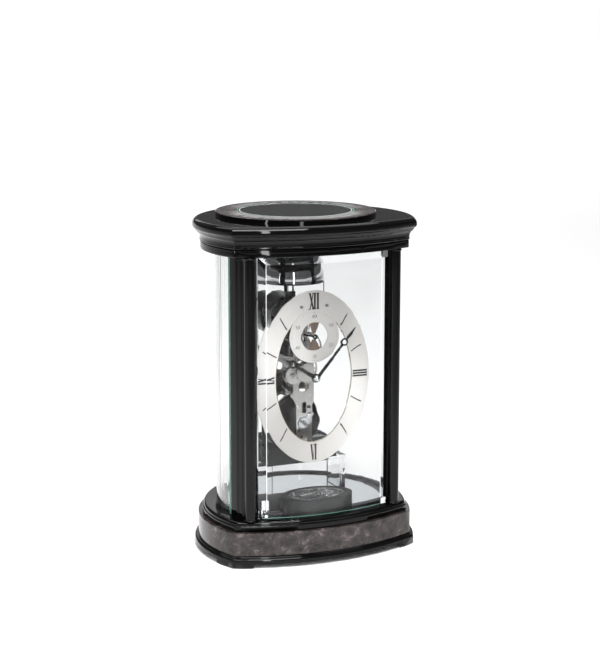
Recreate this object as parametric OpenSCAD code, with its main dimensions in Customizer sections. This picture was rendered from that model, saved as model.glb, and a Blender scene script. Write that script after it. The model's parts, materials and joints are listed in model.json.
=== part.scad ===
// Eight-day skeleton table clock in a glazed, bow-fronted case.
// Millimetres. +Z is up, -Y is the front. The origin is the centre of the footprint,
// on the surface that the clock stands on.

/* [Case plan] */
// Depth of the burl band, front to back
plan_depth = 224; // [200:1:250]
// Radius of the round back and sides of the plan
back_r = 134; // [125:1:145]
// Radius of the bowed front of the plan
front_r = 283; // [250:1:340]

/* [Case heights] */
// Height of the lower moulding, feet included
foot_h = 14.2; // [11:0.1:20]
// Height that the feet lift the apron
apron_lift = 4.5; // [2:0.1:8]
// Height of the felt pads under the feet
pad_h = 1.2; // [0.5:0.1:2.5]
// Height of the burl band
band_h = 28.6; // [20:0.1:40]
// Height of the upper base moulding
deck_h = 11.9; // [9:0.1:18]
// Clear height between base and hood
glass_h = 323; // [300:1:390]
// Height of the architrave under the cornice
architrave_h = 10; // [8:0.1:16]
// Height of the cornice
cornice_h = 27.3; // [24:0.1:36]
// Height of the burl ring on top
ring_h = 5; // [3:0.1:8]

/* [Case offsets from the band] */
// How far the lower moulding stands out
lower_out = 4.8; // [2:0.1:8]
// How far the cornice stands out
cornice_out = 4.8; // [2:0.1:8]
// How far the upper base moulding sets in
deck_in = 5; // [3:0.1:9]
// How far the architrave sets in
architrave_in = 5; // [3:0.1:9]
// Outer radius of the burl ring on top
ring_r = 100.5; // [90:0.5:104]
// Radius of the glass in the top
top_glass_r = 74; // [60:0.5:84]
// How far the top ring sits behind the middle of the plan
ring_back = 6.5; // [0:0.5:12]

/* [Glazing] */
// How far the bent side glass sets in from the band
side_glass_in = 23; // [20:0.5:27]
// Thickness of the side glass
side_glass_t = 4; // [3:0.1:6]
// How far the front glass sets in from the band
front_glass_in = 15; // [13:0.5:18]
// Thickness of the front glass
front_glass_t = 5; // [3:0.1:6]
// Half width of the front glass
door_half_w = 85; // [78:0.5:88]
// Gap above and below the door, and at butt joints
door_gap = 1; // [0.5:0.1:2]
// Depth of the grooves that hold the side glass
groove_d = 2.5; // [1:0.1:4]

/* [Columns] */
// Radius of a column shaft
column_r = 7; // [5:0.1:8]
// Sideways place of the columns
column_x = 95.5; // [93:0.5:100]
// Radial thickness of the corner posts
post_t = 13; // [9:0.5:16]

/* [Dial] */
// Height of the hand arbor above the deck
pivot_up = 163.8; // [150:0.1:180]
// Distance from the hand arbor up to the seconds arbor
seconds_up = 51.3; // [49:0.1:52.2]
// Half width of the dial oval
dial_a = 73.8; // [70:0.1:80]
// Half height of the dial oval
dial_b = 108.6; // [100:0.1:115]
// Half width of the opening in the dial
dial_in_a = 49.7; // [45:0.1:55]
// Half height of the opening in the dial
dial_in_b = 82; // [76:0.1:88]
// Thickness of the dial
dial_t = 1.5; // [1:0.1:3]
// Outer radius of the seconds ring
seconds_r = 32.8; // [28:0.1:36]
// Inner radius of the seconds ring
seconds_in_r = 17.8; // [16:0.1:22]
// Distance from the dial face to the minute hand
hands_out = 9.5; // [8:0.1:12]

/* [Movement] */
// Distance between the movement plates, inside
plates_gap = 39; // [38:0.5:44]
// Thickness of the movement plates
plate_t = 3; // [2:0.1:4]
// Distance from the dial face to the front plate
dial_to_plate = 31.5; // [29:0.5:36]
// Radius of the mainspring barrel
barrel_r = 23.5; // [20:0.1:24]
// Height of the barrel arbor below the hand arbor
barrel_down = 66; // [65.5:0.1:68]
// Radius of the pillars between the plates
pillar_r = 2.5; // [2:0.1:3.5]
// Height of the black seat board
seat_h = 24; // [16:0.5:25]
// Height of the acrylic riser under the seat board
riser_h = 49; // [42:0.5:50]

/* [Wheels] */
// Teeth of the pinions
pinion_teeth = 12; // [12:1:12]
// Teeth of the great wheel on the barrel
great_teeth = 80; // [80:1:80]
// Teeth of the intermediate wheel
inter_teeth = 96; // [96:1:96]
// Teeth of the centre wheel
centre_teeth = 96; // [96:1:96]
// Teeth of the third wheel
third_teeth = 90; // [90:1:90]
// Teeth of the fourth wheel, which carries the seconds hand
fourth_teeth = 96; // [96:1:96]
// Teeth of the minute wheel in the motion work
minute_teeth = 36; // [36:1:36]
// Teeth of the hour wheel in the motion work
hour_teeth = 48; // [48:1:48]
// Module of the great wheel
great_m = 0.8; // [0.78:0.01:0.82]
// Module of the intermediate wheel
inter_m = 0.6; // [0.59:0.01:0.62]
// Module of the centre and third wheels
train_m = 0.5; // [0.49:0.01:0.52]
// Module of the fourth wheel
fourth_m = 0.4; // [0.38:0.01:0.42]
// Module of the cannon pinion and minute wheel
cannon_m = 0.625; // [0.6:0.005:0.65]
// How much thinner a tooth is than half its pitch
tooth_play = 0.1; // [0.08:0.01:0.14]
// Running clearance of an arbor in its hole
run_gap = 0.05; // [0.02:0.01:0.1]

/* [Bell] */
// Radius of the bell at its rim
bell_r = 43; // [38:0.5:45]
// Height of the bell
bell_h = 41; // [34:0.5:44]
// Height of the rim below the hood
bell_drop = 49; // [48:0.5:56]

/* [Hidden] */
$fn = 96;
fine_fn = 192;
over = 1;                 // how far a cutting body runs past what it cuts

// Levels, from the ground up
band_z = foot_h;
deck_z0 = band_z + band_h;
deck_z = deck_z0 + deck_h;
hood_z = deck_z + glass_h;
cornice_z = hood_z + architrave_h;
hood_top = cornice_z + cornice_h;
top_z = hood_top + ring_h;

// Plan: the part of the round back disc that lies in the bowed front disc
back_y = plan_depth/2 - back_r;
front_y = front_r - plan_depth/2;
side_glass_r = back_r - side_glass_in;
front_glass_r = front_r - front_glass_in;
inner_in = side_glass_in + side_glass_t + 1.5;
column_y = front_y - sqrt(pow(front_r - 12.2, 2) - pow(column_x, 2));
post_front_y = column_y + 3;
post_back_y = post_front_y + 30;
door_x = door_half_w - 4.5;
door_r = front_glass_r - front_glass_t/2;
door_y = front_y - sqrt(pow(door_r, 2) - pow(door_x, 2));
door_z0 = deck_z + door_gap;
door_z1 = hood_z - door_gap;
pin_r = 1.5;
clip_t = 1;

// Dial and movement, front to back
dial_y = -50;                         // back of the dial
dial_face_y = dial_y - dial_t;
ring_y = dial_face_y;                 // back of the seconds ring
ring_t = 1.5;
plate_y = dial_face_y + dial_to_plate;            // front face of the front plate
front_in = plate_y + plate_t;                     // its back face
rear_in = front_in + plates_gap;                  // front face of the rear plate
rear_y = rear_in + plate_t;
pivot_z = deck_z + pivot_up;
C = [0, pivot_z];
S = [0, pivot_z + seconds_up];
B = [0, pivot_z - barrel_down];
inter_d = inter_m*(inter_teeth + pinion_teeth)/2;
great_d = great_m*(great_teeth + pinion_teeth)/2;
third_d = train_m*(centre_teeth + pinion_teeth)/2;
fourth_d = train_m*(third_teeth + pinion_teeth)/2;
escape_d = fourth_m*(fourth_teeth + pinion_teeth)/2;
motion_d = cannon_m*(minute_teeth + pinion_teeth)/2;
hour_m = 2*motion_d/(hour_teeth + pinion_teeth);
I = between(B, C, great_d, inter_d, 1);
T = between(C, S, third_d, fourth_d, -1);
escape_dir = 130.4;
E = S + escape_d*[cos(escape_dir), sin(escape_dir)];
M = C + motion_d*[cos(190), sin(190)];
drum_z = S[1] + 12;
balance_c = [8, drum_z];
lever_c = [-3.2, drum_z + 2];

// Train layers: the back face of each wheel
great_y = rear_in - 11;
inter_y = rear_in - 6;
centre_y = front_in + 11;
third_y = front_in + 7;
fourth_y = rear_in - 4;
cannon_y = plate_y - 3;
hour_y = cannon_y - 5;
cam_y = front_in + 23;
minute_hand_y = dial_face_y - hands_out;
hour_hand_y = minute_hand_y + 3;
seconds_hand_y = ring_y - ring_t - 1.6;
arbor_r = 1.2;
pivot_r = 0.8;
pipe_r = 2;
hour_pipe_r = 3;

// Tooth shape: 25 degree involute, short addendum
pressure = 25;
add_f = 0.8;
ded_f = 1.1;

bell_z = hood_z - bell_drop;
bell_y = rear_in - 2;
hammer_p = [24, S[1] + 31];
seat_z = deck_z + riser_h;
seat_top = seat_z + seat_h;
pedestal_y = -60;
pedestal_h = 17;
tray_a = 35;
tray_b = 21;
black = [0.03, 0.03, 0.035];
steel = [0.78, 0.79, 0.8];
clear = [0.8, 0.9, 0.88, 0.35];
brass = [0.8, 0.68, 0.42];

// Meeting point at distances dp and dq from P and Q, to the side given
function between(P, Q, dp, dq, side) =
    let (v = Q - P, d = norm(v), u = v/d,
         t = (dp*dp - dq*dq + d*d)/(2*d), h = sqrt(dp*dp - t*t))
    P + t*u + side*h*[-u[1], u[0]];
function direction(P, Q) = atan2(Q[1] - P[1], Q[0] - P[0]);
// Turn of a gear at Q that puts its gap on the tooth of the gear at P
function mesh_turn(P, Q, n1, n2, turn1) =
    direction(P, Q) + 180 - 180/n2 + (direction(P, Q) - turn1)*n1/n2;
function involute_turn(rb, r) =
    r <= rb ? 0 : let (t = sqrt(pow(r/rb, 2) - 1)) t*180/PI - atan(t);
function flank(n, m, r) =
    let (rp = n*m/2, rb = rp*cos(pressure))
    90/n - tooth_play*90/(PI*rp) + involute_turn(rb, rp) - involute_turn(rb, r);
function polar(r, a) = [r*cos(a), r*sin(a)];
function gear_outline(n, m) =
    let (rp = n*m/2, rb = rp*cos(pressure), root = rp - ded_f*m, tip = rp + add_f*m,
         low = max(root + 0.02, min(rb, rp - 0.5*m)), w0 = flank(n, m, low),
         w1 = flank(n, m, rp + 0.1*m), w2 = flank(n, m, tip))
    [for (i = [0:n - 1]) let (a = 360*i/n) each [polar(root, a - w0), polar(low, a - w0),
        polar(rp + 0.1*m, a - w1), polar(tip, a - w2), polar(tip, a + w2),
        polar(rp + 0.1*m, a + w1), polar(low, a + w0), polar(root, a + w0)]];
function oval(a, b, n = 120) = [for (i = [0:n - 1]) [a*cos(360*i/n), b*sin(360*i/n)]];
// Outline of a flat spring: a coil from radius r0 to r1 in so many turns, t thick
function coil_point(r0, r1, turns, i, n) = polar(r0 + (r1 - r0)*i/n, 360*turns*i/n);
function coil(r0, r1, turns, t, n) = concat(
    [for (i = [0:n]) coil_point(r0, r1, turns, i, n)],
    [for (i = [n:-1:0]) coil_point(r0 + t, r1 + t, turns, i, n)]);

// ---------- shared shapes ----------

// A body with the case's plan, turned from the half section that its child draws for
// radius $r: the section is swept round the back and round the front, and both are kept
module case_turned() {
    intersection() {
        translate([0, back_y, 0]) rotate_extrude($fn = fine_fn) let ($r = back_r) children();
        translate([0, front_y, 0]) rotate_extrude($fn = fine_fn) let ($r = front_r) children();
    }
}
module case_prism(grow, z0, z1) {
    intersection() {
        translate([0, back_y, z0]) cylinder(r = back_r + grow, h = z1 - z0, $fn = fine_fn);
        translate([0, front_y, z0]) cylinder(r = front_r + grow, h = z1 - z0, $fn = fine_fn);
    }
}
// Section of one member of a moulding: a slab with a rounded nose of radius $nose
module member(grow, z0, z1, top_nose = 0, low_nose = 0) {
    r = $r + grow;
    nose = max(top_nose, low_nose);
    translate([0, z0 + low_nose]) square([r, z1 - z0 - top_nose - low_nose]);
    translate([0, z0]) square([r - nose, z1 - z0]);
    if (top_nose > 0) translate([r - top_nose, z1 - top_nose]) circle(r = top_nose, $fn = 48);
    if (low_nose > 0) translate([r - low_nose, z0 + low_nose]) circle(r = low_nose, $fn = 48);
}
// Stands a flat shape upright: its X stays X, its Y becomes Z, and it grows to the front
module upright(p, y) { translate([p[0], y, p[1]]) rotate([90, 0, 0]) children(); }
module rod(p, y_back, y_front, r, fn = 48) {
    upright(p, y_back) cylinder(r = r, h = y_back - y_front, $fn = fn);
}
module gear(p, y, n, m, t, turn) {
    upright(p, y) rotate([0, 0, turn]) linear_extrude(t) polygon(gear_outline(n, m));
}
// A crossed-out wheel: toothed rim, five arms and a hub
module wheel(p, y, n, m, t, turn, arms = 5) {
    rim = n*m/2 - 3.6*m;
    upright(p, y) rotate([0, 0, turn]) linear_extrude(t) difference() {
        polygon(gear_outline(n, m));
        difference() {
            circle(r = rim, $fn = 72);
            circle(r = 4.2, $fn = 48);
            for (i = [0:arms - 1]) rotate(i*360/arms) translate([0, -0.9]) square([rim + over, 1.8]);
        }
    }
}
module arbor(p, y0, y1, r = arbor_r) {
    rod(p, y1 - 0.4, y0 + 0.4, r);
    rod(p, y1 + plate_t - 0.3, y0 - plate_t + 0.3, pivot_r);
}
// A straight strip with round ends, drawn from exact shapes
module strip(p, q, w) {
    v = q - p;
    translate(p) rotate(atan2(v[1], v[0])) {
        translate([0, -w/2]) square([norm(v), w]);
        circle(d = w, $fn = 32);
        translate([norm(v), 0]) circle(d = w, $fn = 32);
    }
}
module wire(points, r) {
    for (i = [0:len(points) - 2]) {
        v = points[i + 1] - points[i];
        translate(points[i]) rotate([0, acos(v[2]/norm(v)), atan2(v[1], v[0])])
            cylinder(r = r, h = norm(v), $fn = 24);
        if (i > 0) translate(points[i]) sphere(r = 1.15*r, $fn = 24);
    }
}

// ---------- base ----------

foot_front_x = 98;        // where the front feet end, each side of the middle
foot_rear_x = 62;         // where the rear feet end, each side of the middle
foot_side_y = [-63, 45];  // where the feet end along the sides

module lower_moulding() {
    color(black) difference() {
        case_turned() {
            member(lower_out, pad_h, foot_h - 2, 3, 0);
            member(lower_out - 3.4, foot_h - 3, foot_h, 0, 0);
        }
        // the apron is cut up between the feet: front, back and sides
        translate([-foot_front_x, -plan_depth, -over])
            cube([2*foot_front_x, plan_depth, pad_h + apron_lift + over]);
        translate([-foot_rear_x, -over, -over])
            cube([2*foot_rear_x, plan_depth, pad_h + apron_lift + over]);
        translate([-2*back_r, foot_side_y[0], -over])
            cube([4*back_r, foot_side_y[1] - foot_side_y[0], pad_h + apron_lift + over]);
        // the inside is hollow
        case_prism(-18, -over, foot_h - 4);
    }
}
pad_r = 5;
module foot_pads() {
    color("#222222") for (side = [-1, 1]) {
        translate([side*110, -84, 0]) cylinder(r = pad_r, h = pad_h, $fn = 32);
        translate([side*97, 60, 0]) cylinder(r = pad_r, h = pad_h, $fn = 32);
    }
}
module burl_band() {
    color("#5a504e") difference() {
        case_turned() member(0, band_z, band_z + band_h, 0.5, 0.5);
        case_prism(-12, band_z - over, band_z + band_h + over);
    }
}
module glass_groove(z, depth) {
    difference() {
        translate([0, back_y, z]) cylinder(r = side_glass_r, h = depth, $fn = fine_fn);
        translate([0, back_y, z - over])
            cylinder(r = side_glass_r - side_glass_t, h = depth + 2*over, $fn = fine_fn);
        translate([-200, -200, z - over]) cube([400, 200 + post_back_y, depth + 2*over]);
    }
}
module base_top() {
    color(black) difference() {
        case_turned() {
            member(-deck_in - 1.5, deck_z0, deck_z, 3.2, 0);
            member(-deck_in, deck_z0, deck_z - 4.4, 1.2, 0);
        }
        glass_groove(deck_z - groove_d, groove_d + over);
        pin_hole(deck_z - 5);
        magnet_hole();
    }
}
module mirror_floor() {
    color("#c9ccd0") difference() {
        case_prism(-inner_in - 9, deck_z, deck_z + 1.6);
        pedestal_blank(0.4, deck_z - over, 4*over);
        for (side = [-1, 1]) translate([side*column_x, column_y, deck_z - over])
            cylinder(r = column_r + 4, h = 4);
    }
}

// ---------- posts and glass ----------

module column() {
    translate([0, 0, deck_z]) rotate_extrude() difference() {
        union() {
            square([column_r, glass_h]);
            for (z = [1.4, glass_h - 1.4]) translate([column_r - 0.2, z]) circle(r = 1.2, $fn = 32);
        }
        translate([-10, -10]) square([10, glass_h + 20]);
        translate([0, -5]) square([column_r + 5, 5]);
        translate([0, glass_h]) square([column_r + 5, 5]);
    }
}
module column_left() { color(black) translate([-column_x, column_y, 0]) column(); }
module column_right() { color(black) translate([column_x, column_y, 0]) column(); }
module corner_post(side) {
    color(black) difference() {
        translate([0, back_y, deck_z]) difference() {
            cylinder(r = side_glass_r + 0.6, h = glass_h, $fn = fine_fn);
            translate([0, 0, -over]) cylinder(r = side_glass_r - post_t, h = glass_h + 2*over,
                $fn = fine_fn);
        }
        translate([-200, post_back_y, deck_z - over]) cube([400, 400, glass_h + 2*over]);
        translate([-200, post_front_y - 400, deck_z - over]) cube([400, 400, glass_h + 2*over]);
        translate([side > 0 ? -400 : 0, -200, deck_z - over]) cube([400, 400, glass_h + 2*over]);
        translate([side*column_x, column_y, deck_z - over])
            cylinder(r = column_r + 1.1, h = glass_h + 2*over);
        for (y = [8.5, 16.5]) post_flute(side, y);
        // room for the edge of the door as it swings
        translate([side*door_x, door_y, deck_z - over]) cylinder(r = 7.4, h = glass_h + 2*over);
        // the rebate that the side glass enters
        translate([0, back_y, deck_z - over]) difference() {
            cylinder(r = side_glass_r, h = glass_h + 2*over, $fn = fine_fn);
            translate([0, 0, -over]) cylinder(r = side_glass_r - side_glass_t,
                h = glass_h + 4*over, $fn = fine_fn);
            translate([-200, -400 + post_back_y - back_y - 3, -2*over])
                cube([400, 400, glass_h + 6*over]);
        }
    }
}
// A flute in the outer face of a corner post, y behind the post's front end
module post_flute(side, y) {
    py = post_front_y + y;
    px = side*sqrt(pow(side_glass_r + 2, 2) - pow(py - back_y, 2));
    translate([px, py, deck_z + 6]) cylinder(r = 2.4, h = glass_h - 12, $fn = 32);
}
module corner_post_left() { corner_post(-1); }
module corner_post_right() { corner_post(1); }
module side_glass(side) {
    z0 = deck_z - groove_d;
    h = glass_h + 2*groove_d;
    color(clear) difference() {
        translate([0, back_y, z0]) cylinder(r = side_glass_r, h = h, $fn = fine_fn);
        translate([0, back_y, z0 - over])
            cylinder(r = side_glass_r - side_glass_t, h = h + 2*over, $fn = fine_fn);
        translate([-200, -400 + post_back_y - 3, z0 - over]) cube([400, 400, h + 2*over]);
        translate([side > 0 ? door_gap/4 - 400 : -door_gap/4, -200, z0 - over])
            cube([400, 400, h + 2*over]);
        // the corners that would enter base and hood are notched at the post
        for (z = [z0 - over, hood_z])
            translate([-200, post_back_y - 8, z]) cube([400, 8, groove_d + over]);
    }
}
module side_glass_left() { side_glass(-1); }
module side_glass_right() { side_glass(1); }

// ---------- hood ----------

module hood_architrave() {
    color(black) difference() {
        case_turned() {
            member(-architrave_in, hood_z, cornice_z - 1.2, 0, 1.5);
            member(-architrave_in - 1.2, cornice_z - 1.6, cornice_z, 0, 0);
        }
        case_prism(-inner_in - 1, hood_z - over, cornice_z + over);
        glass_groove(hood_z - over, groove_d + over);
        pin_hole(hood_z - over);
    }
}
module hood_cornice() {
    cove_r = 9;
    color(black) difference() {
        case_turned() {
            member(cornice_out, hood_top - 11.4, hood_top, 6.6, 3.2);
            member(cornice_out - 3.4, hood_top - 13.6, hood_top - 11, 0, 0);
            difference() {
                member(cornice_out - 4.6, cornice_z + 2.6, hood_top - 13.5, 0, 0);
                translate([$r + cornice_out - 4.6 + 4.4, cornice_z + 4.2]) circle(r = cove_r, $fn = 96);
            }
            member(-architrave_in + 0.9, cornice_z, cornice_z + 2.8, 1.2, 1.2);
        }
        case_prism(-inner_in - 1, cornice_z - over, hood_top - 8);
        translate([0, ring_back, hood_top - 9]) cylinder(r = top_glass_r - 4, h = 20);
    }
}
module top_ring() {
    color("#5a504e") translate([0, ring_back, 0]) rotate_extrude($fn = fine_fn) difference() {
        translate([top_glass_r - 4, hood_top]) square([ring_r - top_glass_r + 4, ring_h]);
        translate([top_glass_r - 4 - over, top_z - 4]) square([4 + over + 0.2, 4 + over]);
        translate([ring_r, top_z]) rotate(45) square(1.2, center = true);
    }
}
module top_glass() {
    color(clear) translate([0, ring_back, 0]) rotate_extrude($fn = fine_fn) difference() {
        translate([0, top_z - 4]) square([top_glass_r, 4.1 - 0.2]);
        translate([top_glass_r, top_z - 0.1]) rotate(-14) translate([-5, 0]) square([10, 3]);
    }
}

// ---------- front door ----------

module pin_hole(z) {
    translate([door_x, door_y, z]) cylinder(r = pin_r + run_gap, h = 5 + over, $fn = 48);
}
module front_glass() {
    color(clear) intersection() {
        translate([0, front_y, 0]) rotate_extrude($fn = fine_fn) difference() {
            translate([door_r - front_glass_t/2, door_z0]) square([front_glass_t, door_z1 - door_z0]);
            // ground bevels along the top and bottom edges
            for (k = [0, 1]) translate([front_glass_r, k == 0 ? door_z0 : door_z1])
                mirror([0, k]) polygon([[-2.2, -over], [over, -over], [over, 9], [0, 9]]);
        }
        translate([0, 0, door_z0 - over]) linear_extrude(door_z1 - door_z0 + 2*over)
            polygon([[-door_half_w, -60], [-door_half_w, bevel_edge_y + 2.2],
                [-door_half_w + 9, bevel_land_y], [0, -plan_depth],
                [door_half_w - 9, bevel_land_y], [door_half_w, bevel_edge_y + 2.2],
                [door_half_w, -60]]);
    }
}
// Front face of the glass at its side edges, and where the side bevels begin
bevel_edge_y = front_y - sqrt(pow(front_glass_r, 2) - pow(door_half_w, 2));
bevel_land_y = front_y - sqrt(pow(front_glass_r, 2) - pow(door_half_w - 9, 2)) - 0.02;
module door_clips() {
    color(steel) for (k = [0, 1]) {
        z = k == 0 ? door_z0 : door_z1;
        translate([0, 0, z]) mirror([0, 0, k]) difference() {
            intersection() {
                translate([0, front_y, -0.7]) cylinder(r = front_glass_r + clip_t, h = 9);
                translate([door_x - 4, door_y - 12, -0.7]) cube([8, 24, 9]);
            }
            translate([0, front_y, -2]) cylinder(r = front_glass_r - front_glass_t - clip_t, h = 12);
            translate([0, front_y, 0]) difference() {
                cylinder(r = front_glass_r, h = 12);
                translate([0, 0, -over]) cylinder(r = front_glass_r - front_glass_t, h = 14);
            }
        }
    }
}
module door_pins() {
    color(steel) for (z = [deck_z - 4.6, door_z1 + 0.7])
        translate([door_x, door_y, z]) cylinder(r = pin_r, h = 4.6 + door_gap - 0.7, $fn = 48);
}
module door_strike_plate() {
    color(steel) intersection() {
        translate([0, front_y, door_z0 + 10]) difference() {
            cylinder(r = front_glass_r - front_glass_t, h = 12, $fn = fine_fn);
            translate([0, 0, -over]) cylinder(r = front_glass_r - front_glass_t - 1, h = 14,
                $fn = fine_fn);
        }
        translate([-door_half_w + 5, -100, door_z0]) cube([8, 60, 40]);
    }
}
magnet_c = [-door_half_w + 9, bevel_edge_y + front_glass_t + 6.5];
module magnet_hole() {
    translate([magnet_c[0], magnet_c[1], deck_z - 4]) cylinder(r = 3, h = 5, $fn = 32);
}
module door_magnet() {
    color(steel) translate([magnet_c[0], magnet_c[1], deck_z - 4]) {
        cylinder(r = 3, h = 14, $fn = 32);
        translate([-3, -5.5, 14]) cube([6, 6, 9]);
    }
}

// ---------- inside the case ----------

pedestal_a = 46.6;
pedestal_b = 30;
module pedestal_blank(grow, z, h) {
    translate([0, pedestal_y, z]) linear_extrude(h)
        polygon(oval(pedestal_a + grow, pedestal_b + grow));
}
module pedestal() {
    color(black) difference() {
        pedestal_blank(0, deck_z, pedestal_h);
        translate([0, pedestal_y, deck_z + pedestal_h - 5]) linear_extrude(5 + over)
            polygon(oval(tray_a + 0.2, tray_b + 0.2));
    }
}
module key_tray() {
    color(steel) translate([0, pedestal_y, deck_z + pedestal_h - 5]) difference() {
        linear_extrude(5.6) polygon(oval(tray_a, tray_b));
        translate([0, 0, 1.4]) linear_extrude(5) polygon(oval(tray_a - 1.2, tray_b - 1.2));
    }
}
key_z = deck_z + pedestal_h - 5 + 1.4;
key_tube_r = 3.2;
module winding_key() {
    color(steel) translate([0, pedestal_y, key_z + key_tube_r]) rotate([0, 0, 14]) {
        difference() {
            translate([-25, 0, 0]) rotate([0, 90, 0]) cylinder(r = key_tube_r, h = 28);
            translate([-26, 0, 0]) rotate([0, 90, 0]) rotate(45) cylinder(r = 2, h = 12, $fn = 4);
        }
        translate([-2, 0, 0]) rotate([0, 90, 0]) cylinder(r = 2.2, h = 14);
        difference() {
            for (s = [-1, 1]) translate([14, s*5.8, -1.5]) cylinder(r = 6.2, h = 3);
            for (s = [-1, 1]) translate([14.6, s*6.6, -2]) cylinder(r = 3.2, h = 4);
        }
    }
}
module acrylic_riser() {
    color(clear) difference() {
        translate([-59, front_in + 3, deck_z + 1.6]) cube([118, 46, riser_h - 1.6]);
        translate([-54, front_in, deck_z]) cube([108, 60, riser_h - 5]);
    }
}
seat_half_w = 46;
seat_depth = 56;
seat_round = 6;
module movement_seat() {
    color(black) difference() {
        union() {
            translate([-seat_half_w, front_in, seat_z])
                cube([2*seat_half_w, seat_depth, seat_h - seat_round]);
            translate([seat_round - seat_half_w, front_in, seat_z])
                cube([2*(seat_half_w - seat_round), seat_depth, seat_h]);
            for (s = [-1, 1])
                rod([s*(seat_half_w - seat_round), seat_top - seat_round], front_in + seat_depth,
                    front_in, seat_round);
        }
        // well for the lower edge of the great wheel
        translate([-34, great_y - 4.5, seat_top - 12]) cube([68, 7, 12 + over]);
        for (s = [-1, 1]) rod([s*6, seat_top - 6], front_in + 6, front_in - over, screw_r + 0.05);
    }
}

// ---------- movement frame ----------

hub_r = 5;
module front_plate() {
    color(steel) difference() {
        upright([0, 0], front_in) linear_extrude(plate_t) difference() {
            union() {
                translate([-10.5, seat_top - 12]) square([21, C[1] - 30 - seat_top + 12]);
                strip([0, C[1] - 34], [0, C[1] + 26], 27);
                strip([0, S[1] - 14], [0, S[1] - 2], 12);
                polygon([[-10, S[1] - 17], [10, S[1] - 17], [3, S[1]], [7, S[1] + 17], [-7, S[1] + 17],
                    [-3, S[1]]]);
                translate(S) circle(r = hub_r);
                strip([-10, S[1] + 26], [10, S[1] + 26], 9);
                strip([0, S[1] + 14], [0, S[1] + 26], 10);
                for (s = [-1, 1]) strip([s*10, S[1] + 26], [s*17, C[1] + 89], 8);
                translate(I) circle(r = 6);
                strip(C + [-8, 14], C + [-31, 20], 7);
                strip(C + [-8, -6], C + [-31, 20], 6);
                translate(C + [-31, 20]) circle(r = hub_r);
                translate(M) circle(r = 5);
            }
            translate(C + [0, -19]) circle(r = 7);
            translate(C + [-4.5, 14]) circle(r = 3.4);
            translate([-3, B[1] + 13]) square([6, 14]);
            translate([-2.2, S[1] - 12.5]) square([4.4, 6]);
        }
        rod(B, 0, -60, barrel_hole);
        for (p = [I, C, T, S]) rod(p, 0, -60, pivot_r + run_gap);
        rod(C, 0, -60, arbor_r + run_gap);
        rod(S, 0, -60, arbor_r + run_gap);
        rod(M, 0, -60, 1.5);
        screw_holes();
        for (s = [-1, 1]) rod([s*17, C[1] + 89], 0, -60, 1.5);
        rod([0, seat_top - 6], 0, -60, 1.5);
    }
}
barrel_arbor_r = 2.6;
barrel_hole = barrel_arbor_r + run_gap;
screw_r = 1.2;
pillars = [[-10, S[1] + 26], [10, S[1] + 26], C + [-31, 20]];
module screw_holes() {
    for (p = pillars) rod(p, rear_y + 10, plate_y - 10, screw_r + 0.05);
    for (s = [-1, 1]) rod([s*6, seat_top - 6], front_in + over, plate_y - 10, screw_r + 0.05);
}
module rear_plate() {
    color(steel) difference() {
        upright([0, 0], rear_y) linear_extrude(plate_t) difference() {
            union() {
                translate([-26, seat_top]) square([52, C[1] + 22 - seat_top]);
                translate([-20, C[1] + 20]) square([40, 46]);
                strip([-12, S[1] + 20], [12, S[1] + 20], 26);
                translate([-38, C[1] + 12]) square([20, 15]);
                strip([10, S[1] + 20], hammer_p, 12);
                translate([-7, S[1] + 20]) square([14, 24]);
            }
            for (p = [[-14, C[1] - 45], [15, C[1] - 40], [15, C[1] - 3], [-14, C[1] + 2]])
                translate(p) circle(r = 7.5);
            translate([12, C[1] + 32]) circle(r = 5);
            translate([-12, C[1] + 36]) circle(r = 5);
        }
        rod(B, rear_y + 9, rear_in - 9, barrel_hole);
        for (p = [I, C, T, S]) rod(p, rear_y + 9, rear_in - 9, pivot_r + run_gap);
        rod(E, rear_y + 9, rear_in - 9, arbor_r + run_gap);
        rod(hammer_p, rear_y + 9, rear_in - 9, 1.5 + run_gap);
        screw_holes();
    }
}
module plate_pillars() {
    color(steel) for (p = pillars) difference() {
        union() {
            rod(p, rear_in, front_in, pillar_r);
            for (y = [rear_in, front_in + 2]) rod(p, y, y - 2, pillar_r + 0.8);
        }
        rod(p, rear_in + over, rear_in - 7, screw_r + 0.05);
        rod(p, front_in + 7, front_in - over, screw_r + 0.05);
    }
}
module screw(p, y, back, head = 2.6) {
    // the head stands on the plate face at y, and the shank runs into the pillar
    s = back ? -1 : 1;
    difference() {
        translate([p[0], y, p[1]]) rotate([s*90, 0, 0]) union() {
            cylinder(r = head, h = 1.6, $fn = 32);
            translate([0, 0, -plate_t - 5]) cylinder(r = screw_r, h = plate_t + 5.5, $fn = 24);
        }
        translate([p[0], y - s*1.6, p[1]]) cube([6, 1.2, 0.7], center = true);
    }
}
module plate_screws() {
    color("#30406a") {
        for (p = pillars) screw(p, plate_y, false);
        for (p = pillars) screw(p, rear_y, true);
        for (s = [-1, 1]) screw([s*6, seat_top - 6], plate_y, false);
        for (s = [-1, 1]) screw([s*17, C[1] + 89], dial_face_y, false, 1.8);
    }
}
module barrel_arbor() {
    color(steel) {
        rod(B, rear_y + 1, plate_y - 5, barrel_arbor_r);
        upright(B, plate_y - 5) translate([-1.5, -1.5, 0]) cube([3, 3, 7]);
    }
}
module ratchet_wheel() {
    n = 20;
    color(steel) upright(B, plate_y - 0.3) linear_extrude(1.4) difference() {
        polygon([for (i = [0:n - 1]) each [polar(8, 360*i/n), polar(6.8, 360*i/n + 2)]]);
        circle(r = barrel_arbor_r);
    }
}
module click() {
    color(steel) upright(B, plate_y) linear_extrude(1.7) difference() {
        union() {
            translate([9.4, 11]) circle(r = 2.2);
            polygon([[11, 10.5], [7.4, 10.4], [4.5, 7.4], [5.1, 6.8], [9.6, 8.8]]);
        }
        translate([9.4, 11]) circle(r = 0.8);
    }
}

// ---------- dial ----------

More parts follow.
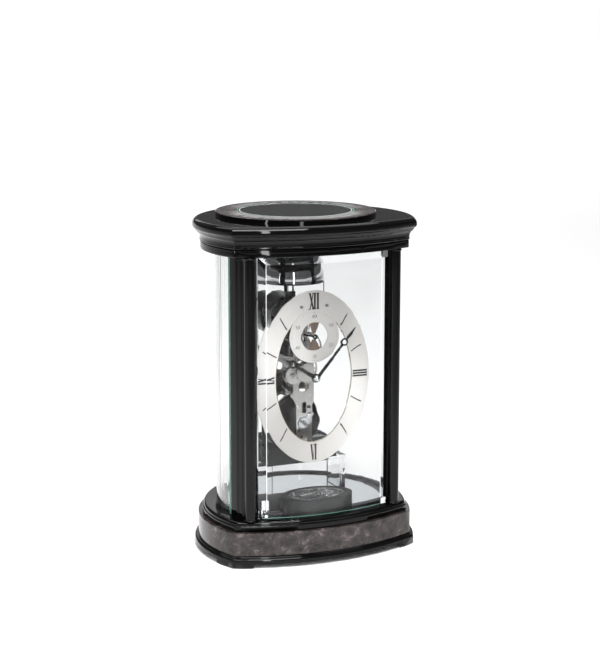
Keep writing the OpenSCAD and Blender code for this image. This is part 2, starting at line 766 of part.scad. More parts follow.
module dial_ring() {
    color("#d8d8d6") upright([0, 0], dial_y) difference() {
        translate([0, C[1], 0]) linear_extrude(dial_t) difference() {
            polygon(oval(dial_a, dial_b, 180));
            polygon(oval(dial_in_a, dial_in_b, 180));
        }
        for (s = [-1, 1]) translate([s*17, C[1] + 89, -over])
            cylinder(r = 1.3, h = dial_t + 2*over, $fn = 24);
    }
}
module seconds_ring() {
    color("#d8d8d6") upright(S, ring_y) difference() {
        cylinder(r = seconds_r, h = ring_t);
        translate([0, 0, -over]) cylinder(r = seconds_in_r, h = ring_t + 2*over);
    }
}
module dial_feet() {
    color(steel) {
        for (s = [-1, 1]) difference() {
            rod([s*17, C[1] + 89], plate_y, dial_y, 2.4);
            rod([s*17, C[1] + 89], dial_y + 8, dial_y - over, 1.25);
        }
        rod([0, seat_top - 6], plate_y, dial_y, 2.4);
        rod([0, seat_top - 6], plate_y + 2.5, plate_y - 0.01, 1.45);
        for (s = [-1, 1]) rod([s*17, C[1] + 89], plate_y + 2.5, plate_y - 0.01, 1.45);
    }
}

// ---------- escapement ----------

drum_r = 26.6;
drum_len = 42;
module escapement_cover() {
    color(black) difference() {
        rod([0, drum_z], rear_y + drum_len, rear_y, drum_r, 96);
        rod([0, drum_z], rear_y + drum_len - 1.5, rear_y - over, drum_r - 1.5, 96);
    }
}
module balance_cock() {
    color(brass) difference() {
        union() {
            upright([0, 0], rear_y + 22) linear_extrude(2)
                strip([-17, drum_z - 9], [14, drum_z + 1], 7);
            rod([-17, drum_z - 9], rear_y + 21, rear_y, 3);
            upright([0, 0], rear_y + 9) linear_extrude(1.6) union() {
                strip([-17, drum_z - 9], [-17, drum_z + 7], 6);
                strip([-17, drum_z + 7], lever_c, 6);
                strip(lever_c, balance_c, 4);
            }
        }
        rod(balance_c, rear_y + 30, rear_y + 5, 0.6);
        rod(lever_c, rear_y + 12, rear_y + 5, 0.6);
        rod(E, rear_y + 12, rear_y + 5, arbor_r + run_gap);
    }
}
module escape_wheel() {
    n = 15;
    turn = mesh_turn(S, E, fourth_teeth, pinion_teeth, fourth_turn);
    color(brass) {
        gear(E, fourth_y + 1, pinion_teeth, fourth_m, 3, turn);
        rod(E, rear_y + 8.4, fourth_y, arbor_r - 0.01);
        upright(E, rear_y + 5) linear_extrude(1) difference() {
            union() {
                circle(r = 4.6);
                for (i = [0:n - 1]) rotate(i*360/n) polygon([[3.8, -0.9], [6, 0.1], [6, 0.4], [3.8, 0.6]]);
            }
            for (i = [0:3]) rotate(45 + i*90) translate([2.9, 0]) circle(r = 0.9, $fn = 24);
        }
    }
}
module pallet_lever() {
    color(steel) {
        rod(lever_c, rear_y + 8.2, rear_y + 1, 0.55);
        upright([0, 0], rear_y + 4.9) linear_extrude(0.9) {
            strip(lever_c + [-3.4, 4.4], lever_c + [-3.4, -4.4], 1.1);
            strip(lever_c + [-3.4, 0], lever_c + [5.2, -0.4], 1.1);
            translate(lever_c) circle(r = 1.3);
        }
    }
}
module balance_wheel() {
    color(brass) {
        rod(balance_c, rear_y + 22.4, rear_y + 7.6, 0.55);
        upright(balance_c, rear_y + 14) linear_extrude(1.6) difference() {
            union() {
                difference() {
                    circle(r = 12.6);
                    circle(r = 11);
                }
                translate([-11.6, -0.8]) square([23.2, 1.6]);
                circle(r = 2);
            }
        }
        upright(balance_c, rear_y + 11.5) cylinder(r = 2, h = 1);
    }
}
module hairspring() {
    color("#33415e") upright(balance_c, rear_y + 18.2) linear_extrude(1)
        polygon(coil(0.5, 8.5, 6, 0.3, 144));
}

// ---------- going train ----------

centre_turn = 0;
inter_turn = mesh_turn(C, I, pinion_teeth, inter_teeth, centre_turn);
third_turn = mesh_turn(C, T, centre_teeth, pinion_teeth, centre_turn);
fourth_turn = mesh_turn(T, S, third_teeth, pinion_teeth, third_turn);
great_turn = mesh_turn(I, B, pinion_teeth, great_teeth, inter_turn);
minute_turn = mesh_turn(C, M, pinion_teeth, minute_teeth, centre_turn);
hour_turn = mesh_turn(M, C, pinion_teeth, hour_teeth, minute_turn);

module going_barrel() {
    color(brass) difference() {
        union() {
            rod(B, great_y, front_in + 1, barrel_r);
            gear(B, great_y, great_teeth, great_m, 2, great_turn);
        }
        rod(B, great_y - 3, front_in + 3, barrel_r - 1.6);
        rod(B, great_y + 5, front_in - 5, barrel_hole);
    }
}
module mainspring() {
    color("#3a3f4a") upright(B, great_y - 4.5) linear_extrude(great_y - front_in - 9)
        polygon(coil(barrel_arbor_r + 1, barrel_r - 2.3, 7, 0.6, 168));
}
module intermediate_wheel() {
    color(brass) {
        arbor(I, front_in, rear_in);
        wheel(I, inter_y, inter_teeth, inter_m, 1.8, inter_turn);
        gear(I, great_y + 0.5, pinion_teeth, great_m, 3, inter_turn);
    }
}
module center_wheel() {
    color(brass) {
        rod(C, rear_in - 0.4, plate_y - 0.8, arbor_r);
        rod(C, rear_y - 0.3, rear_in - 1, pivot_r);
        rod(C, plate_y - 0.5, minute_hand_y - 3, arbor_r - 0.2);
        wheel(C, centre_y, centre_teeth, train_m, 1.5, centre_turn);
        gear(C, inter_y + 0.5, pinion_teeth, inter_m, 3, centre_turn);
        upright(C, cam_y) linear_extrude(2)
            polygon([for (a = [0:10:350]) polar(4 + 3.6*a/350, -a)]);
    }
}
module cannon_pinion() {
    color(steel) difference() {
        union() {
            gear(C, cannon_y + 1.5, pinion_teeth, cannon_m, 3.5, centre_turn);
            rod(C, cannon_y + 1.5, minute_hand_y - 1.2, pipe_r);
        }
        rod(C, 0, -100, arbor_r - 0.2);
    }
}
module minute_wheel_stud() {
    color(steel) {
        rod(M, front_in, plate_y - 9.2, 1.5);
        rod(M, plate_y - 9, plate_y - 10, 2.4);
    }
}
module minute_wheel() {
    color(brass) difference() {
        union() {
            gear(M, cannon_y + 0.5, minute_teeth, cannon_m, 1.5, minute_turn);
            gear(M, cannon_y - 0.5, pinion_teeth, hour_m, 5, minute_turn);
        }
        rod(M, 0, -60, 1.5 + run_gap);
    }
}
module hour_wheel() {
    color(brass) difference() {
        union() {
            gear(C, hour_y + 1.5, hour_teeth, hour_m, 1.5, hour_turn);
            rod(C, hour_y + 1.5, hour_hand_y - 0.9, hour_pipe_r);
        }
        rod(C, 0, -100, pipe_r + run_gap);
    }
}
module third_wheel() {
    color(brass) {
        arbor(T, front_in, rear_in);
        wheel(T, third_y, third_teeth, train_m, 1.5, third_turn);
        gear(T, centre_y + 0.5, pinion_teeth, train_m, 2.5, third_turn);
    }
}
module fourth_wheel() {
    color(brass) {
        rod(S, rear_in - 0.4, seconds_hand_y - 0.6, arbor_r);
        rod(S, rear_y - 0.3, rear_in - 1, pivot_r);
        wheel(S, fourth_y, fourth_teeth, fourth_m, 1.2, fourth_turn);
        gear(S, third_y + 0.5, pinion_teeth, train_m, 2.5, fourth_turn);
    }
}

// ---------- hands ----------

minute_angle = 40.4;
hour_angle = 303.4;
seconds_angle = 285;
// A baton hand with a ring near its tip, pointing up
module hand_shape(len, ring_at, ring_out, hub, w) {
    difference() {
        union() {
            circle(r = hub);
            translate([-w/2, 0]) square([w, ring_at - ring_out + 0.5]);
            translate([0, ring_at]) circle(r = ring_out);
            polygon([[-w*0.8, ring_at + ring_out - 0.6], [w*0.8, ring_at + ring_out - 0.6],
                [0.35, len], [-0.35, len]]);
        }
        translate([0, ring_at]) circle(r = ring_out - 1.1);
    }
}
module hour_hand() {
    color(black) upright(C, hour_hand_y + 0.5) rotate(-hour_angle) difference() {
        linear_extrude(1) hand_shape(49, 36.4, 4.2, 5.4, 1.9);
        translate([0, 0, -over]) cylinder(r = hour_pipe_r, h = 4);
    }
}
module minute_hand() {
    color(black) upright(C, minute_hand_y + 0.5) rotate(-minute_angle) difference() {
        linear_extrude(1) hand_shape(79.5, 56.7, 4.2, 4.4, 1.8);
        translate([0, 0, -over]) cylinder(r = pipe_r, h = 4);
    }
}
module hand_nut() {
    color(steel) difference() {
        translate([0, minute_hand_y - 0.5, C[1]]) rotate([90, 0, 0]) rotate_extrude() difference() {
            translate([0, -1]) circle(r = 4.6);
            translate([-10, -10]) square([10, 20]);
            translate([-1, -10]) square([10, 10]);
        }
        rod(C, minute_hand_y + 5, minute_hand_y - 1.25, pipe_r + 0.05);
        rod(C, minute_hand_y + 5, minute_hand_y - 3.01, arbor_r - 0.2);
    }
}
module seconds_hand() {
    color(black) upright(S, seconds_hand_y) rotate(-seconds_angle) difference() {
        linear_extrude(0.6) union() {
            circle(r = 2.4);
            translate([-0.4, 0]) square([0.8, 16]);
            for (r = [11.6, 14.6]) translate([0, r]) circle(r = 0.95, $fn = 24);
            polygon([[-1.1, 0], [1.1, 0], [0.4, 7.5], [-0.4, 7.5]]);
        }
        translate([0, 0, -over]) cylinder(r = arbor_r, h = 3);
    }
}

// ---------- bell ----------

bell_wall = 2;
bell_hole = 2.1;
// Point of the bell's section, at angle a from the flared rim to the crown
function bell_point(r, h, a) =
    [max(bell_hole, r*(a < 1 ? 1 : 0.97)*pow(cos(a), 0.62)), h*sin(a)];
module bell() {
    color(steel) translate([0, bell_y, bell_z]) rotate_extrude() polygon(concat(
        [for (a = [0:5:90]) bell_point(bell_r, bell_h, a)],
        [for (a = [90:-5:0]) bell_point(bell_r - bell_wall, bell_h - bell_wall, a)]));
}
module bell_bracket() {
    color(black) {
        post_z = drum_z + drum_r + 0.8;
        for (s = [-1, 1]) translate([s*4.8, rear_y + 1.9, post_z])
            cylinder(r = 1.9, h = bell_z + 6 - post_z);
        translate([-7, rear_y, post_z]) cube([14, 3.8, 4]);
        translate([-7, bell_y - 3, bell_z + 6]) cube([14, rear_y + 3.8 - bell_y + 3, 3]);
        translate([0, bell_y, bell_z + 8.5]) cylinder(r = 3, h = bell_h - 2 - 8.5);
        translate([0, bell_y, bell_z + bell_h - 3]) cylinder(r = 2, h = 9);
    }
}
module bell_nut() {
    color(steel) translate([0, bell_y, bell_z + bell_h + 0.1]) difference() {
        cylinder(r = 4.5, h = 4, $fn = 6);
        translate([0, 0, -over]) cylinder(r = 2, h = 6);
    }
}
module hammer() {
    px = hammer_p[0];
    pz = hammer_p[1];
    color(steel) {
        rod(hammer_p, rear_y - 0.3, cam_y - 3, 1.5);
        wire([[px, rear_in - 2, pz], [45.2, rear_in - 2, pz + 5], [45.2, rear_in - 2, bell_z - 4.5],
            [30, rear_in - 2, bell_z - 4.5], [30, rear_in - 2, bell_z + 4]], 0.8);
        translate([26, rear_in - 2, bell_z + 7]) rotate([0, 90, 0]) cylinder(r = 3.6, h = 11);
        wire([[px, cam_y - 1, pz], [13, cam_y - 1, C[1] + 30], [10.5, cam_y - 1, C[1] + 2]], 0.7);
    }
}

lower_moulding();
foot_pads();
burl_band();
base_top();
mirror_floor();
column_left();
column_right();
corner_post_left();
corner_post_right();
side_glass_left();
side_glass_right();
hood_architrave();
hood_cornice();
top_ring();
top_glass();
door_magnet();
front_glass();
door_clips();
door_pins();
door_strike_plate();
pedestal();
key_tray();
winding_key();
acrylic_riser();
movement_seat();
front_plate();
rear_plate();
plate_pillars();
plate_screws();
barrel_arbor();
ratchet_wheel();
click();
dial_ring();
seconds_ring();
dial_feet();
escapement_cover();
balance_cock();
bell();
bell_bracket();
bell_nut();
going_barrel();
mainspring();
intermediate_wheel();
center_wheel();
cannon_pinion();
minute_wheel_stud();
minute_wheel();
hour_wheel();
third_wheel();
fourth_wheel();
escape_wheel();
pallet_lever();
balance_wheel();
hairspring();
hammer();
hour_hand();
minute_hand();
hand_nut();
seconds_hand();
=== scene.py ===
"""Skeleton table clock: finishes, dial printing, studio and camera over its CAD frame."""

import json
import math

import bmesh
import bpy
from bpy.props import FloatProperty, FloatVectorProperty, IntProperty, PointerProperty
from mathutils import Matrix, Vector
from mathutils.bvhtree import BVHTree


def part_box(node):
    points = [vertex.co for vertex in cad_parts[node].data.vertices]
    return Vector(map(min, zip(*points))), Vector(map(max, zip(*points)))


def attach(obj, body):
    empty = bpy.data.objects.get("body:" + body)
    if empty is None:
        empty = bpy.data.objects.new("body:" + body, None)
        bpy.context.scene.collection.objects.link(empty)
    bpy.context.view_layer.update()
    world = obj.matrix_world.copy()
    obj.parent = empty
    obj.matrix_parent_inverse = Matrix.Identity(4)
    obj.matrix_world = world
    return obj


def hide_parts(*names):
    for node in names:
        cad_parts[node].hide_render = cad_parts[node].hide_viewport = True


bl_info = {
    "name": "Skeleton Table Clock",
    "version": (1, 0, 0),
    "blender": (4, 5, 0),
    "location": "View3D > Sidebar > Clock",
    "description": "Finishes, dial, glazing and studio of a glazed skeleton clock",
    "category": "Object",
}

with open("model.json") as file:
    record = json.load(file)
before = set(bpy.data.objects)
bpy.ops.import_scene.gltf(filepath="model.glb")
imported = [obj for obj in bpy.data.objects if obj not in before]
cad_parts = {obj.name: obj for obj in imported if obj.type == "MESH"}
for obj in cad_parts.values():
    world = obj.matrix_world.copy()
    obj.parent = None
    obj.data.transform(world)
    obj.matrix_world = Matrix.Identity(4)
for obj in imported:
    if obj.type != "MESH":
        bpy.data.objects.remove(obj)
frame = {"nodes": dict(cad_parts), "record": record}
NODES = frame["nodes"]
MM = 0.001
DOOR_BOW = 0.268       # radius of the door's bowed front
DOOR_BOW_Y = 0.171     # where the centre of that bow lies behind the clock's middle
ARRIS_IN = 9 * MM      # from the door's sides to the arrises of its bevels, where white strips paint their highlights


# ---------- sizes and colours a user would change ----------


def linear(code):
    """sRGB hex to a linear RGBA tuple."""
    code = code.lstrip("#")
    out = []
    for i in (0, 2, 4):
        c = int(code[i : i + 2], 16) / 255
        out.append(c / 12.92 if c <= 0.04045 else ((c + 0.055) / 1.055) ** 2.4)
    return (*out, 1.0)


def colour_setting(name, description, code):
    """A colour a user may change, given as sRGB hex."""
    return FloatVectorProperty(
        name=name, description=description, subtype="COLOR", size=4, min=0, max=1, default=linear(code)
    )


class ClockCaseSettings(bpy.types.PropertyGroup):
    """Lacquer, veneer and glass."""

    lacquer: colour_setting("Lacquer", "Colour of the polished black lacquer", "#040404")
    veneer_dark: colour_setting("Veneer dark", "Darkest figure of the grey burl", "#0e0c0b")
    veneer_light: colour_setting("Veneer light", "Lightest figure of the grey burl", "#686060")
    smooth_angle: FloatProperty(
        name="Smooth angle", description="Edges flatter than this are shaded round", subtype="ANGLE",
        default=math.radians(32),
    )


class ClockDialSettings(bpy.types.PropertyGroup):
    """Dial ovals, numerals and marks."""

    outer_a: FloatProperty(name="Outer half width", description="Half width of the dial oval",
                           unit="LENGTH", default=73.8 * MM)
    outer_b: FloatProperty(name="Outer half height", description="Half height of the dial oval",
                           unit="LENGTH", default=108.6 * MM)
    inner_a: FloatProperty(name="Opening half width", description="Half width of the opening",
                           unit="LENGTH", default=49.7 * MM)
    inner_b: FloatProperty(name="Opening half height", description="Half height of the opening",
                           unit="LENGTH", default=82.0 * MM)
    numeral_h: FloatProperty(name="Numeral height", description="Height of an hour numeral",
                             unit="LENGTH", default=20.5 * MM)
    ink_t: FloatProperty(name="Ink thickness", description="How proud the print stands",
                         unit="LENGTH", default=0.08 * MM)
    seconds_dots: IntProperty(name="Seconds dots", description="Dots around the seconds ring", default=60)


class ClockStudioSettings(bpy.types.PropertyGroup):
    """Floor, lights and camera."""

    floor_size: FloatProperty(name="Floor", description="Width of the floor", unit="LENGTH", default=60)
    floor_tint: colour_setting("Floor tint", "Colour of the pale floor", "#f6f6f6")
    lens: FloatProperty(name="Lens", description="Focal length of the camera in millimetres", default=85.6)
    pitch: FloatProperty(name="Pitch", description="How far the camera looks down", subtype="ANGLE",
                         default=math.radians(8.864))
    turn: FloatProperty(name="Turn", description="Turn of the camera to the clock's left", subtype="ANGLE",
                        default=math.radians(22.5))
    shift_y: FloatProperty(name="Shift", description="Vertical lens shift", default=-0.1)


def settings():
    """The scene, which holds the groups of settings."""
    return bpy.context.scene


# ---------- helpers ----------


def add_node(tree, kind, values=None, links=None, stops=(), **fields):
    """Adds one shader node with its fields, values and colour stops, and links what feeds it."""
    node = tree.nodes.new(kind)
    for key, value in fields.items():
        setattr(node, key, value)
    for key, value in (values or {}).items():
        node.inputs[key].default_value = value
    for key, source in (links or {}).items():
        tree.links.new(getattr(source, "outputs", [source])[0], node.inputs[key])
    for _ in stops[2:]:
        node.color_ramp.elements.new(0.5)
    for element, (at, colour) in zip(node.color_ramp.elements if stops else (), stops):
        element.position, element.color = at, colour
    return node


def new_material(name):
    """An empty material, its node tree, and the object coordinates of what it's on."""
    mat = bpy.data.materials.new(name)
    mat.use_nodes = True
    tree = mat.node_tree
    tree.nodes.clear()
    coords = add_node(tree, "ShaderNodeTexCoord")
    return mat, tree, coords.outputs["Object"]


def finish_material(tree, shader):
    """Puts the shader on the surface."""
    add_node(tree, "ShaderNodeOutputMaterial", links={"Surface": shader})


def scale_for(size_mm):
    """Scale of a pattern whose features are about this many millimetres across."""
    return 1 / (size_mm * MM)


def assign(mat, *objects):
    for obj in objects:
        obj.data.materials.clear()
        obj.data.materials.append(mat)


def new_object(name, bm, mat, body, smooth=None):
    """Makes a finished piece from a bmesh and lets it ride on its CAD body."""
    mesh = bpy.data.meshes.new(name)
    bm.to_mesh(mesh)
    bm.free()
    obj = bpy.data.objects.new(name, mesh)
    bpy.context.scene.collection.objects.link(obj)
    mesh.materials.append(mat)
    if smooth is not None:
        mesh.shade_smooth()
        mesh.set_sharp_from_angle(angle=smooth)
    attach(obj, body)
    return obj


def body_named(node):
    """Name of the body that holds a CAD node."""
    for name, nodes in frame["record"]["behaviour"]["bodies"].items():
        if node in nodes:
            return name
    raise RuntimeError(f"no body holds {node}")


def refined(node, mat, angle=None, bevel_mm=0.0):
    """A merged, smoothly shaded copy of a CAD node that stands for it."""
    bm = bmesh.new()
    bm.from_mesh(NODES[node].data)
    bmesh.ops.remove_doubles(bm, verts=bm.verts, dist=0.002 * MM)
    bmesh.ops.dissolve_degenerate(bm, edges=bm.edges, dist=0.0005 * MM)
    limit = settings().clock_case.smooth_angle if angle is None else angle
    obj = new_object(node + "_finish", bm, mat, body_named(node), limit)
    if bevel_mm:
        edge = obj.modifiers.new("eased edges", "BEVEL")
        edge.width, edge.segments, edge.limit_method = bevel_mm * MM, 2, "ANGLE"
        edge.angle_limit = math.radians(50)
        edge.use_clamp_overlap = True
        edge.harden_normals = False
    else:
        weight = obj.modifiers.new("even shading", "WEIGHTED_NORMAL")
        weight.keep_sharp = True
    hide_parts(node)
    return obj


# ---------- materials ----------


def piano_lacquer():
    """Polyester piano lacquer, sprayed and buffed: deep black under a mirror-like coat."""
    mat, tree, coords = new_material("piano lacquer")
    # a trace of orange peel keeps long reflections from being ruler straight
    peel = add_node(tree, "ShaderNodeTexNoise", {"Scale": scale_for(9), "Detail": 1.0}, {"Vector": coords})
    haze = add_node(tree, "ShaderNodeTexNoise", {"Scale": scale_for(35), "Detail": 3.0}, {"Vector": coords})
    gloss = add_node(tree, "ShaderNodeMapRange", {"To Min": 0.035, "To Max": 0.075}, {"Value": haze})
    relief = add_node(tree, "ShaderNodeBump", {"Distance": 0.004 * MM}, {"Height": peel})
    shader = add_node(
        tree, "ShaderNodeBsdfPrincipled",
        {"Base Color": settings().clock_case.lacquer, "IOR": 1.5, "Specular IOR Level": 0.18},
        {"Roughness": gloss, "Normal": relief},
    )
    finish_material(tree, shader)
    return mat


def grey_burl():
    """Grey-stained burl veneer under clear lacquer: cloudy swirls and small dark eyes."""
    mat, tree, coords = new_material("grey burl veneer")
    case = settings().clock_case
    clouds = add_node(
        tree, "ShaderNodeTexNoise",
        {"Scale": scale_for(16), "Detail": 7.0, "Roughness": 0.62, "Distortion": 2.2}, {"Vector": coords},
    )
    fine = add_node(
        tree, "ShaderNodeTexNoise",
        {"Scale": scale_for(3.5), "Detail": 6.0, "Roughness": 0.7, "Distortion": 1.2}, {"Vector": coords},
    )
    eyes = add_node(
        tree, "ShaderNodeTexVoronoi", {"Scale": scale_for(11), "Randomness": 1.0}, {"Vector": coords},
        feature="SMOOTH_F1",
    )
    swirls = add_node(tree, "ShaderNodeMix", {"Factor": 0.42}, {"A": clouds, "B": fine}, data_type="FLOAT")
    figure = add_node(tree, "ShaderNodeMix", {"Factor": 0.25}, {"A": swirls, "B": eyes}, data_type="FLOAT")
    colour = add_node(tree, "ShaderNodeValToRGB", links={"Fac": figure}, stops=[
        (0.34, case.veneer_dark), (0.44, linear("#272322")), (0.54, linear("#393231")),
        (0.64, case.veneer_light),
    ])
    relief = add_node(tree, "ShaderNodeBump", {"Distance": 0.02 * MM}, {"Height": figure})
    shader = add_node(
        tree, "ShaderNodeBsdfPrincipled", {"IOR": 1.5, "Specular IOR Level": 0.3, "Roughness": 0.14},
        {"Base Color": colour, "Normal": relief},
    )
    finish_material(tree, shader)
    return mat


def clear_pane(name, tint, ior):
    """A clear body that bends what is seen through it and lets the lamps shine in."""
    mat, tree, coords = new_material(name)
    ripple = add_node(tree, "ShaderNodeTexNoise", {"Scale": scale_for(60), "Detail": 1.0},
                      {"Vector": coords})
    relief = add_node(tree, "ShaderNodeBump", {"Distance": 0.002 * MM}, {"Height": ripple})
    pane = add_node(
        tree, "ShaderNodeBsdfPrincipled",
        {"Base Color": linear(tint), "IOR": ior, "Roughness": 0.0, "Transmission Weight": 1.0,
         "Specular Tint": (0.3, 0.3, 0.3, 1.0)},
        {"Normal": relief},
    )
    through = add_node(tree, "ShaderNodeBsdfTransparent", {"Color": linear(tint)})
    path = add_node(tree, "ShaderNodeLightPath")
    mixed = add_node(tree, "ShaderNodeMixShader", links={
        0: path.outputs["Is Shadow Ray"], 1: pane, 2: through,
    })
    finish_material(tree, mixed)
    return mat


def float_glass():
    """Soda-lime float glass, ground and polished at the edges: clear and nearly colourless."""
    return clear_pane("float glass", "#eff0f0", 1.5)


def cast_acrylic():
    """Cast acrylic, flame-polished at the edges: clearer than glass and bright at its rims."""
    return clear_pane("cast acrylic", "#f8fafa", 1.49)


def polished_metal(name, code, low, high, scale_mm=1.2, stretch=(1, 1, 1)):
    """A metal with fine finishing marks that vary its gloss."""
    mat, tree, coords = new_material(name)
    place = add_node(tree, "ShaderNodeMapping", {"Scale": stretch}, {"Vector": coords})
    marks = add_node(tree, "ShaderNodeTexNoise", {"Scale": scale_for(scale_mm), "Detail": 3.0},
                     {"Vector": place})
    smear = add_node(tree, "ShaderNodeTexNoise", {"Scale": scale_for(14), "Detail": 2.0}, {"Vector": coords})
    shade = add_node(tree, "ShaderNodeMix", {"Factor": 0.5}, {"A": marks, "B": smear}, data_type="FLOAT")
    gloss = add_node(tree, "ShaderNodeMapRange", {"To Min": low, "To Max": high}, {"Value": shade})
    relief = add_node(tree, "ShaderNodeBump", {"Distance": 0.003 * MM}, {"Height": marks})
    shader = add_node(
        tree, "ShaderNodeBsdfPrincipled", {"Base Color": linear(code), "Metallic": 1.0},
        {"Roughness": gloss, "Normal": relief},
    )
    finish_material(tree, shader)
    return mat


def silvered_dial():
    """Silvered brass, brushed out from the centre: satin with soft darker rays, and painted reflection bands
    in its colour.
    """
    mat, tree, coords = new_material("silvered dial")
    low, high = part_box("dial_ring")
    centre = (low + high) / 2
    local = add_node(tree, "ShaderNodeVectorMath", {1: (centre.x, 0, centre.z)}, {0: coords},
                     operation="SUBTRACT")
    parts = add_node(tree, "ShaderNodeSeparateXYZ", links={"Vector": local})
    angle = add_node(tree, "ShaderNodeMath", links={0: parts.outputs["Z"], 1: parts.outputs["X"]},
                     operation="ARCTAN2")
    radius = add_node(tree, "ShaderNodeVectorMath", links={0: local}, operation="LENGTH").outputs["Value"]
    # hair lines: fast round the dial, slow along a radius; drawn coarser than the real 0.05 mm
    turned = add_node(tree, "ShaderNodeMath", {1: 150.0}, {0: angle}, operation="MULTIPLY")
    along = add_node(tree, "ShaderNodeMath", {1: 60.0}, {0: radius}, operation="MULTIPLY")
    ray_at = add_node(tree, "ShaderNodeCombineXYZ", links={"X": turned, "Y": along})
    rays = add_node(tree, "ShaderNodeTexNoise", {"Scale": 1.0, "Detail": 3.0, "Roughness": 0.7},
                    {"Vector": ray_at})
    # painted reflection: the broad bands that brushed metal shows under soft boxes, painted into the colour
    # as four lobes round the dial
    painted_band_phase = add_node(tree, "ShaderNodeMath", {1: 2.0, 2: 2.35}, {0: angle}, operation="MULTIPLY_ADD")
    painted_band_wave = add_node(tree, "ShaderNodeMath", links={0: painted_band_phase}, operation="SINE")
    painted_bands = add_node(tree, "ShaderNodeMapRange", {"From Min": -1.0, "From Max": 1.0}, {"Value": painted_band_wave})
    fine = add_node(tree, "ShaderNodeMapRange", {"To Min": 0.42, "To Max": 0.58}, {"Value": rays})
    hairlines_and_painted_bands = add_node(tree, "ShaderNodeMath", links={0: painted_bands, 1: fine}, operation="ADD")
    hairline_and_painted_band_tone = add_node(tree, "ShaderNodeMath", {1: 0.625}, {0: hairlines_and_painted_bands}, operation="MULTIPLY")
    # the colour carries the real hair lines and the painted reflection bands together
    colour = add_node(tree, "ShaderNodeValToRGB", links={"Fac": hairline_and_painted_band_tone},
                      stops=[(0.22, linear("#b0aca8")), (0.95, linear("#e8e5e2"))])
    gloss = add_node(tree, "ShaderNodeMapRange", {"To Min": 0.38, "To Max": 0.5}, {"Value": rays})
    relief = add_node(tree, "ShaderNodeBump", {"Distance": 0.004 * MM}, {"Height": rays})
    shader = add_node(
        tree, "ShaderNodeBsdfPrincipled", {"Metallic": 0.55},
        {"Base Color": colour, "Roughness": gloss, "Normal": relief},
    )
    finish_material(tree, shader)
    return mat


def paint(name, code, low=0.25, high=0.4, grain_mm=0.6):
    """A thin paint or ink film with a fine grain in its gloss."""
    mat, tree, coords = new_material(name)
    grain = add_node(tree, "ShaderNodeTexNoise", {"Scale": scale_for(grain_mm), "Detail": 2.0},
                     {"Vector": coords})
    gloss = add_node(tree, "ShaderNodeMapRange", {"To Min": low, "To Max": high}, {"Value": grain})
    relief = add_node(tree, "ShaderNodeBump", {"Distance": 0.003 * MM}, {"Height": grain})
    shader = add_node(
        tree, "ShaderNodeBsdfPrincipled", {"Base Color": linear(code), "IOR": 1.5},
        {"Roughness": gloss, "Normal": relief},
    )
    finish_material(tree, shader)
    return mat


def felt():
    """Pressed wool felt: dull and slightly fuzzy."""
    mat, tree, coords = new_material("pressed felt")
    fuzz = add_node(tree, "ShaderNodeTexNoise", {"Scale": scale_for(0.5), "Detail": 5.0, "Roughness": 0.8},
                    {"Vector": coords})
    colour = add_node(tree, "ShaderNodeValToRGB", links={"Fac": fuzz},
                      stops=[(0.3, linear("#151515")), (0.7, linear("#2c2c2c"))])
    relief = add_node(tree, "ShaderNodeBump", {"Distance": 0.1 * MM}, {"Height": fuzz})
    shader = add_node(
        tree, "ShaderNodeBsdfPrincipled", {"Roughness": 0.95, "Sheen Weight": 0.4},
        {"Base Color": colour, "Normal": relief},
    )
    finish_material(tree, shader)
    return mat


def studio_paper(tint):
    """Matt white paper with a barely visible tooth, with a painted glow that brightens it where it runs far
    back.
    """
    mat, tree, coords = new_material("studio paper")
    tooth = add_node(tree, "ShaderNodeTexNoise", {"Scale": scale_for(2), "Detail": 3.0}, {"Vector": coords})
    back = add_node(tree, "ShaderNodeSeparateXYZ", links={"Vector": coords}).outputs["Y"]
    # painted glow: emission that grows towards the back stands in for lamp light on the far paper
    painted_glow = add_node(tree, "ShaderNodeMapRange",
                    {"From Min": 0.5, "From Max": 4.5, "To Min": 0.0, "To Max": 0.9}, {"Value": back})
    # grey paper in front of the clock, so its panes mirror little light
    near = add_node(tree, "ShaderNodeMapRange", {"From Min": -0.85, "From Max": -0.52}, {"Value": back})
    colour = add_node(tree, "ShaderNodeValToRGB", links={"Fac": near},
                      stops=[(0.0, linear("#b4b4b5")), (1.0, tint)])
    relief = add_node(tree, "ShaderNodeBump", {"Distance": 0.01 * MM}, {"Height": tooth})
    shader = add_node(
        tree, "ShaderNodeBsdfPrincipled",
        {"Roughness": 0.9, "Specular IOR Level": 0.2, "Emission Color": (1, 1, 1, 1)},
        {"Base Color": colour, "Normal": relief, "Emission Strength": painted_glow},
    )
    finish_material(tree, shader)
    return mat


# ---------- operators ----------


class CLOCK_OT_case(bpy.types.Operator):
    """Lacquers the mouldings, posts and hood, and veneers the burl band and top ring"""

    bl_idname = "clock.case"
    bl_label = "Case"
    bl_options = {"REGISTER", "UNDO"}

    def execute(self, context):
        lacquer, burl = piano_lacquer(), grey_burl()
        for node in ("lower_moulding", "base_top", "hood_architrave", "hood_cornice", "column_left",
                     "column_right", "corner_post_left", "corner_post_right"):
            refined(node, lacquer)
        refined("burl_band", burl)
        ring = refined("top_ring", burl)
        # the edge of the ring is lacquered, only its top face is veneered
        ring.data.materials.append(lacquer)
        for face in ring.data.polygons:
            if face.normal.z < 0.5:
                face.material_index = 1
        assign(felt(), NODES["foot_pads"])
        return {"FINISHED"}


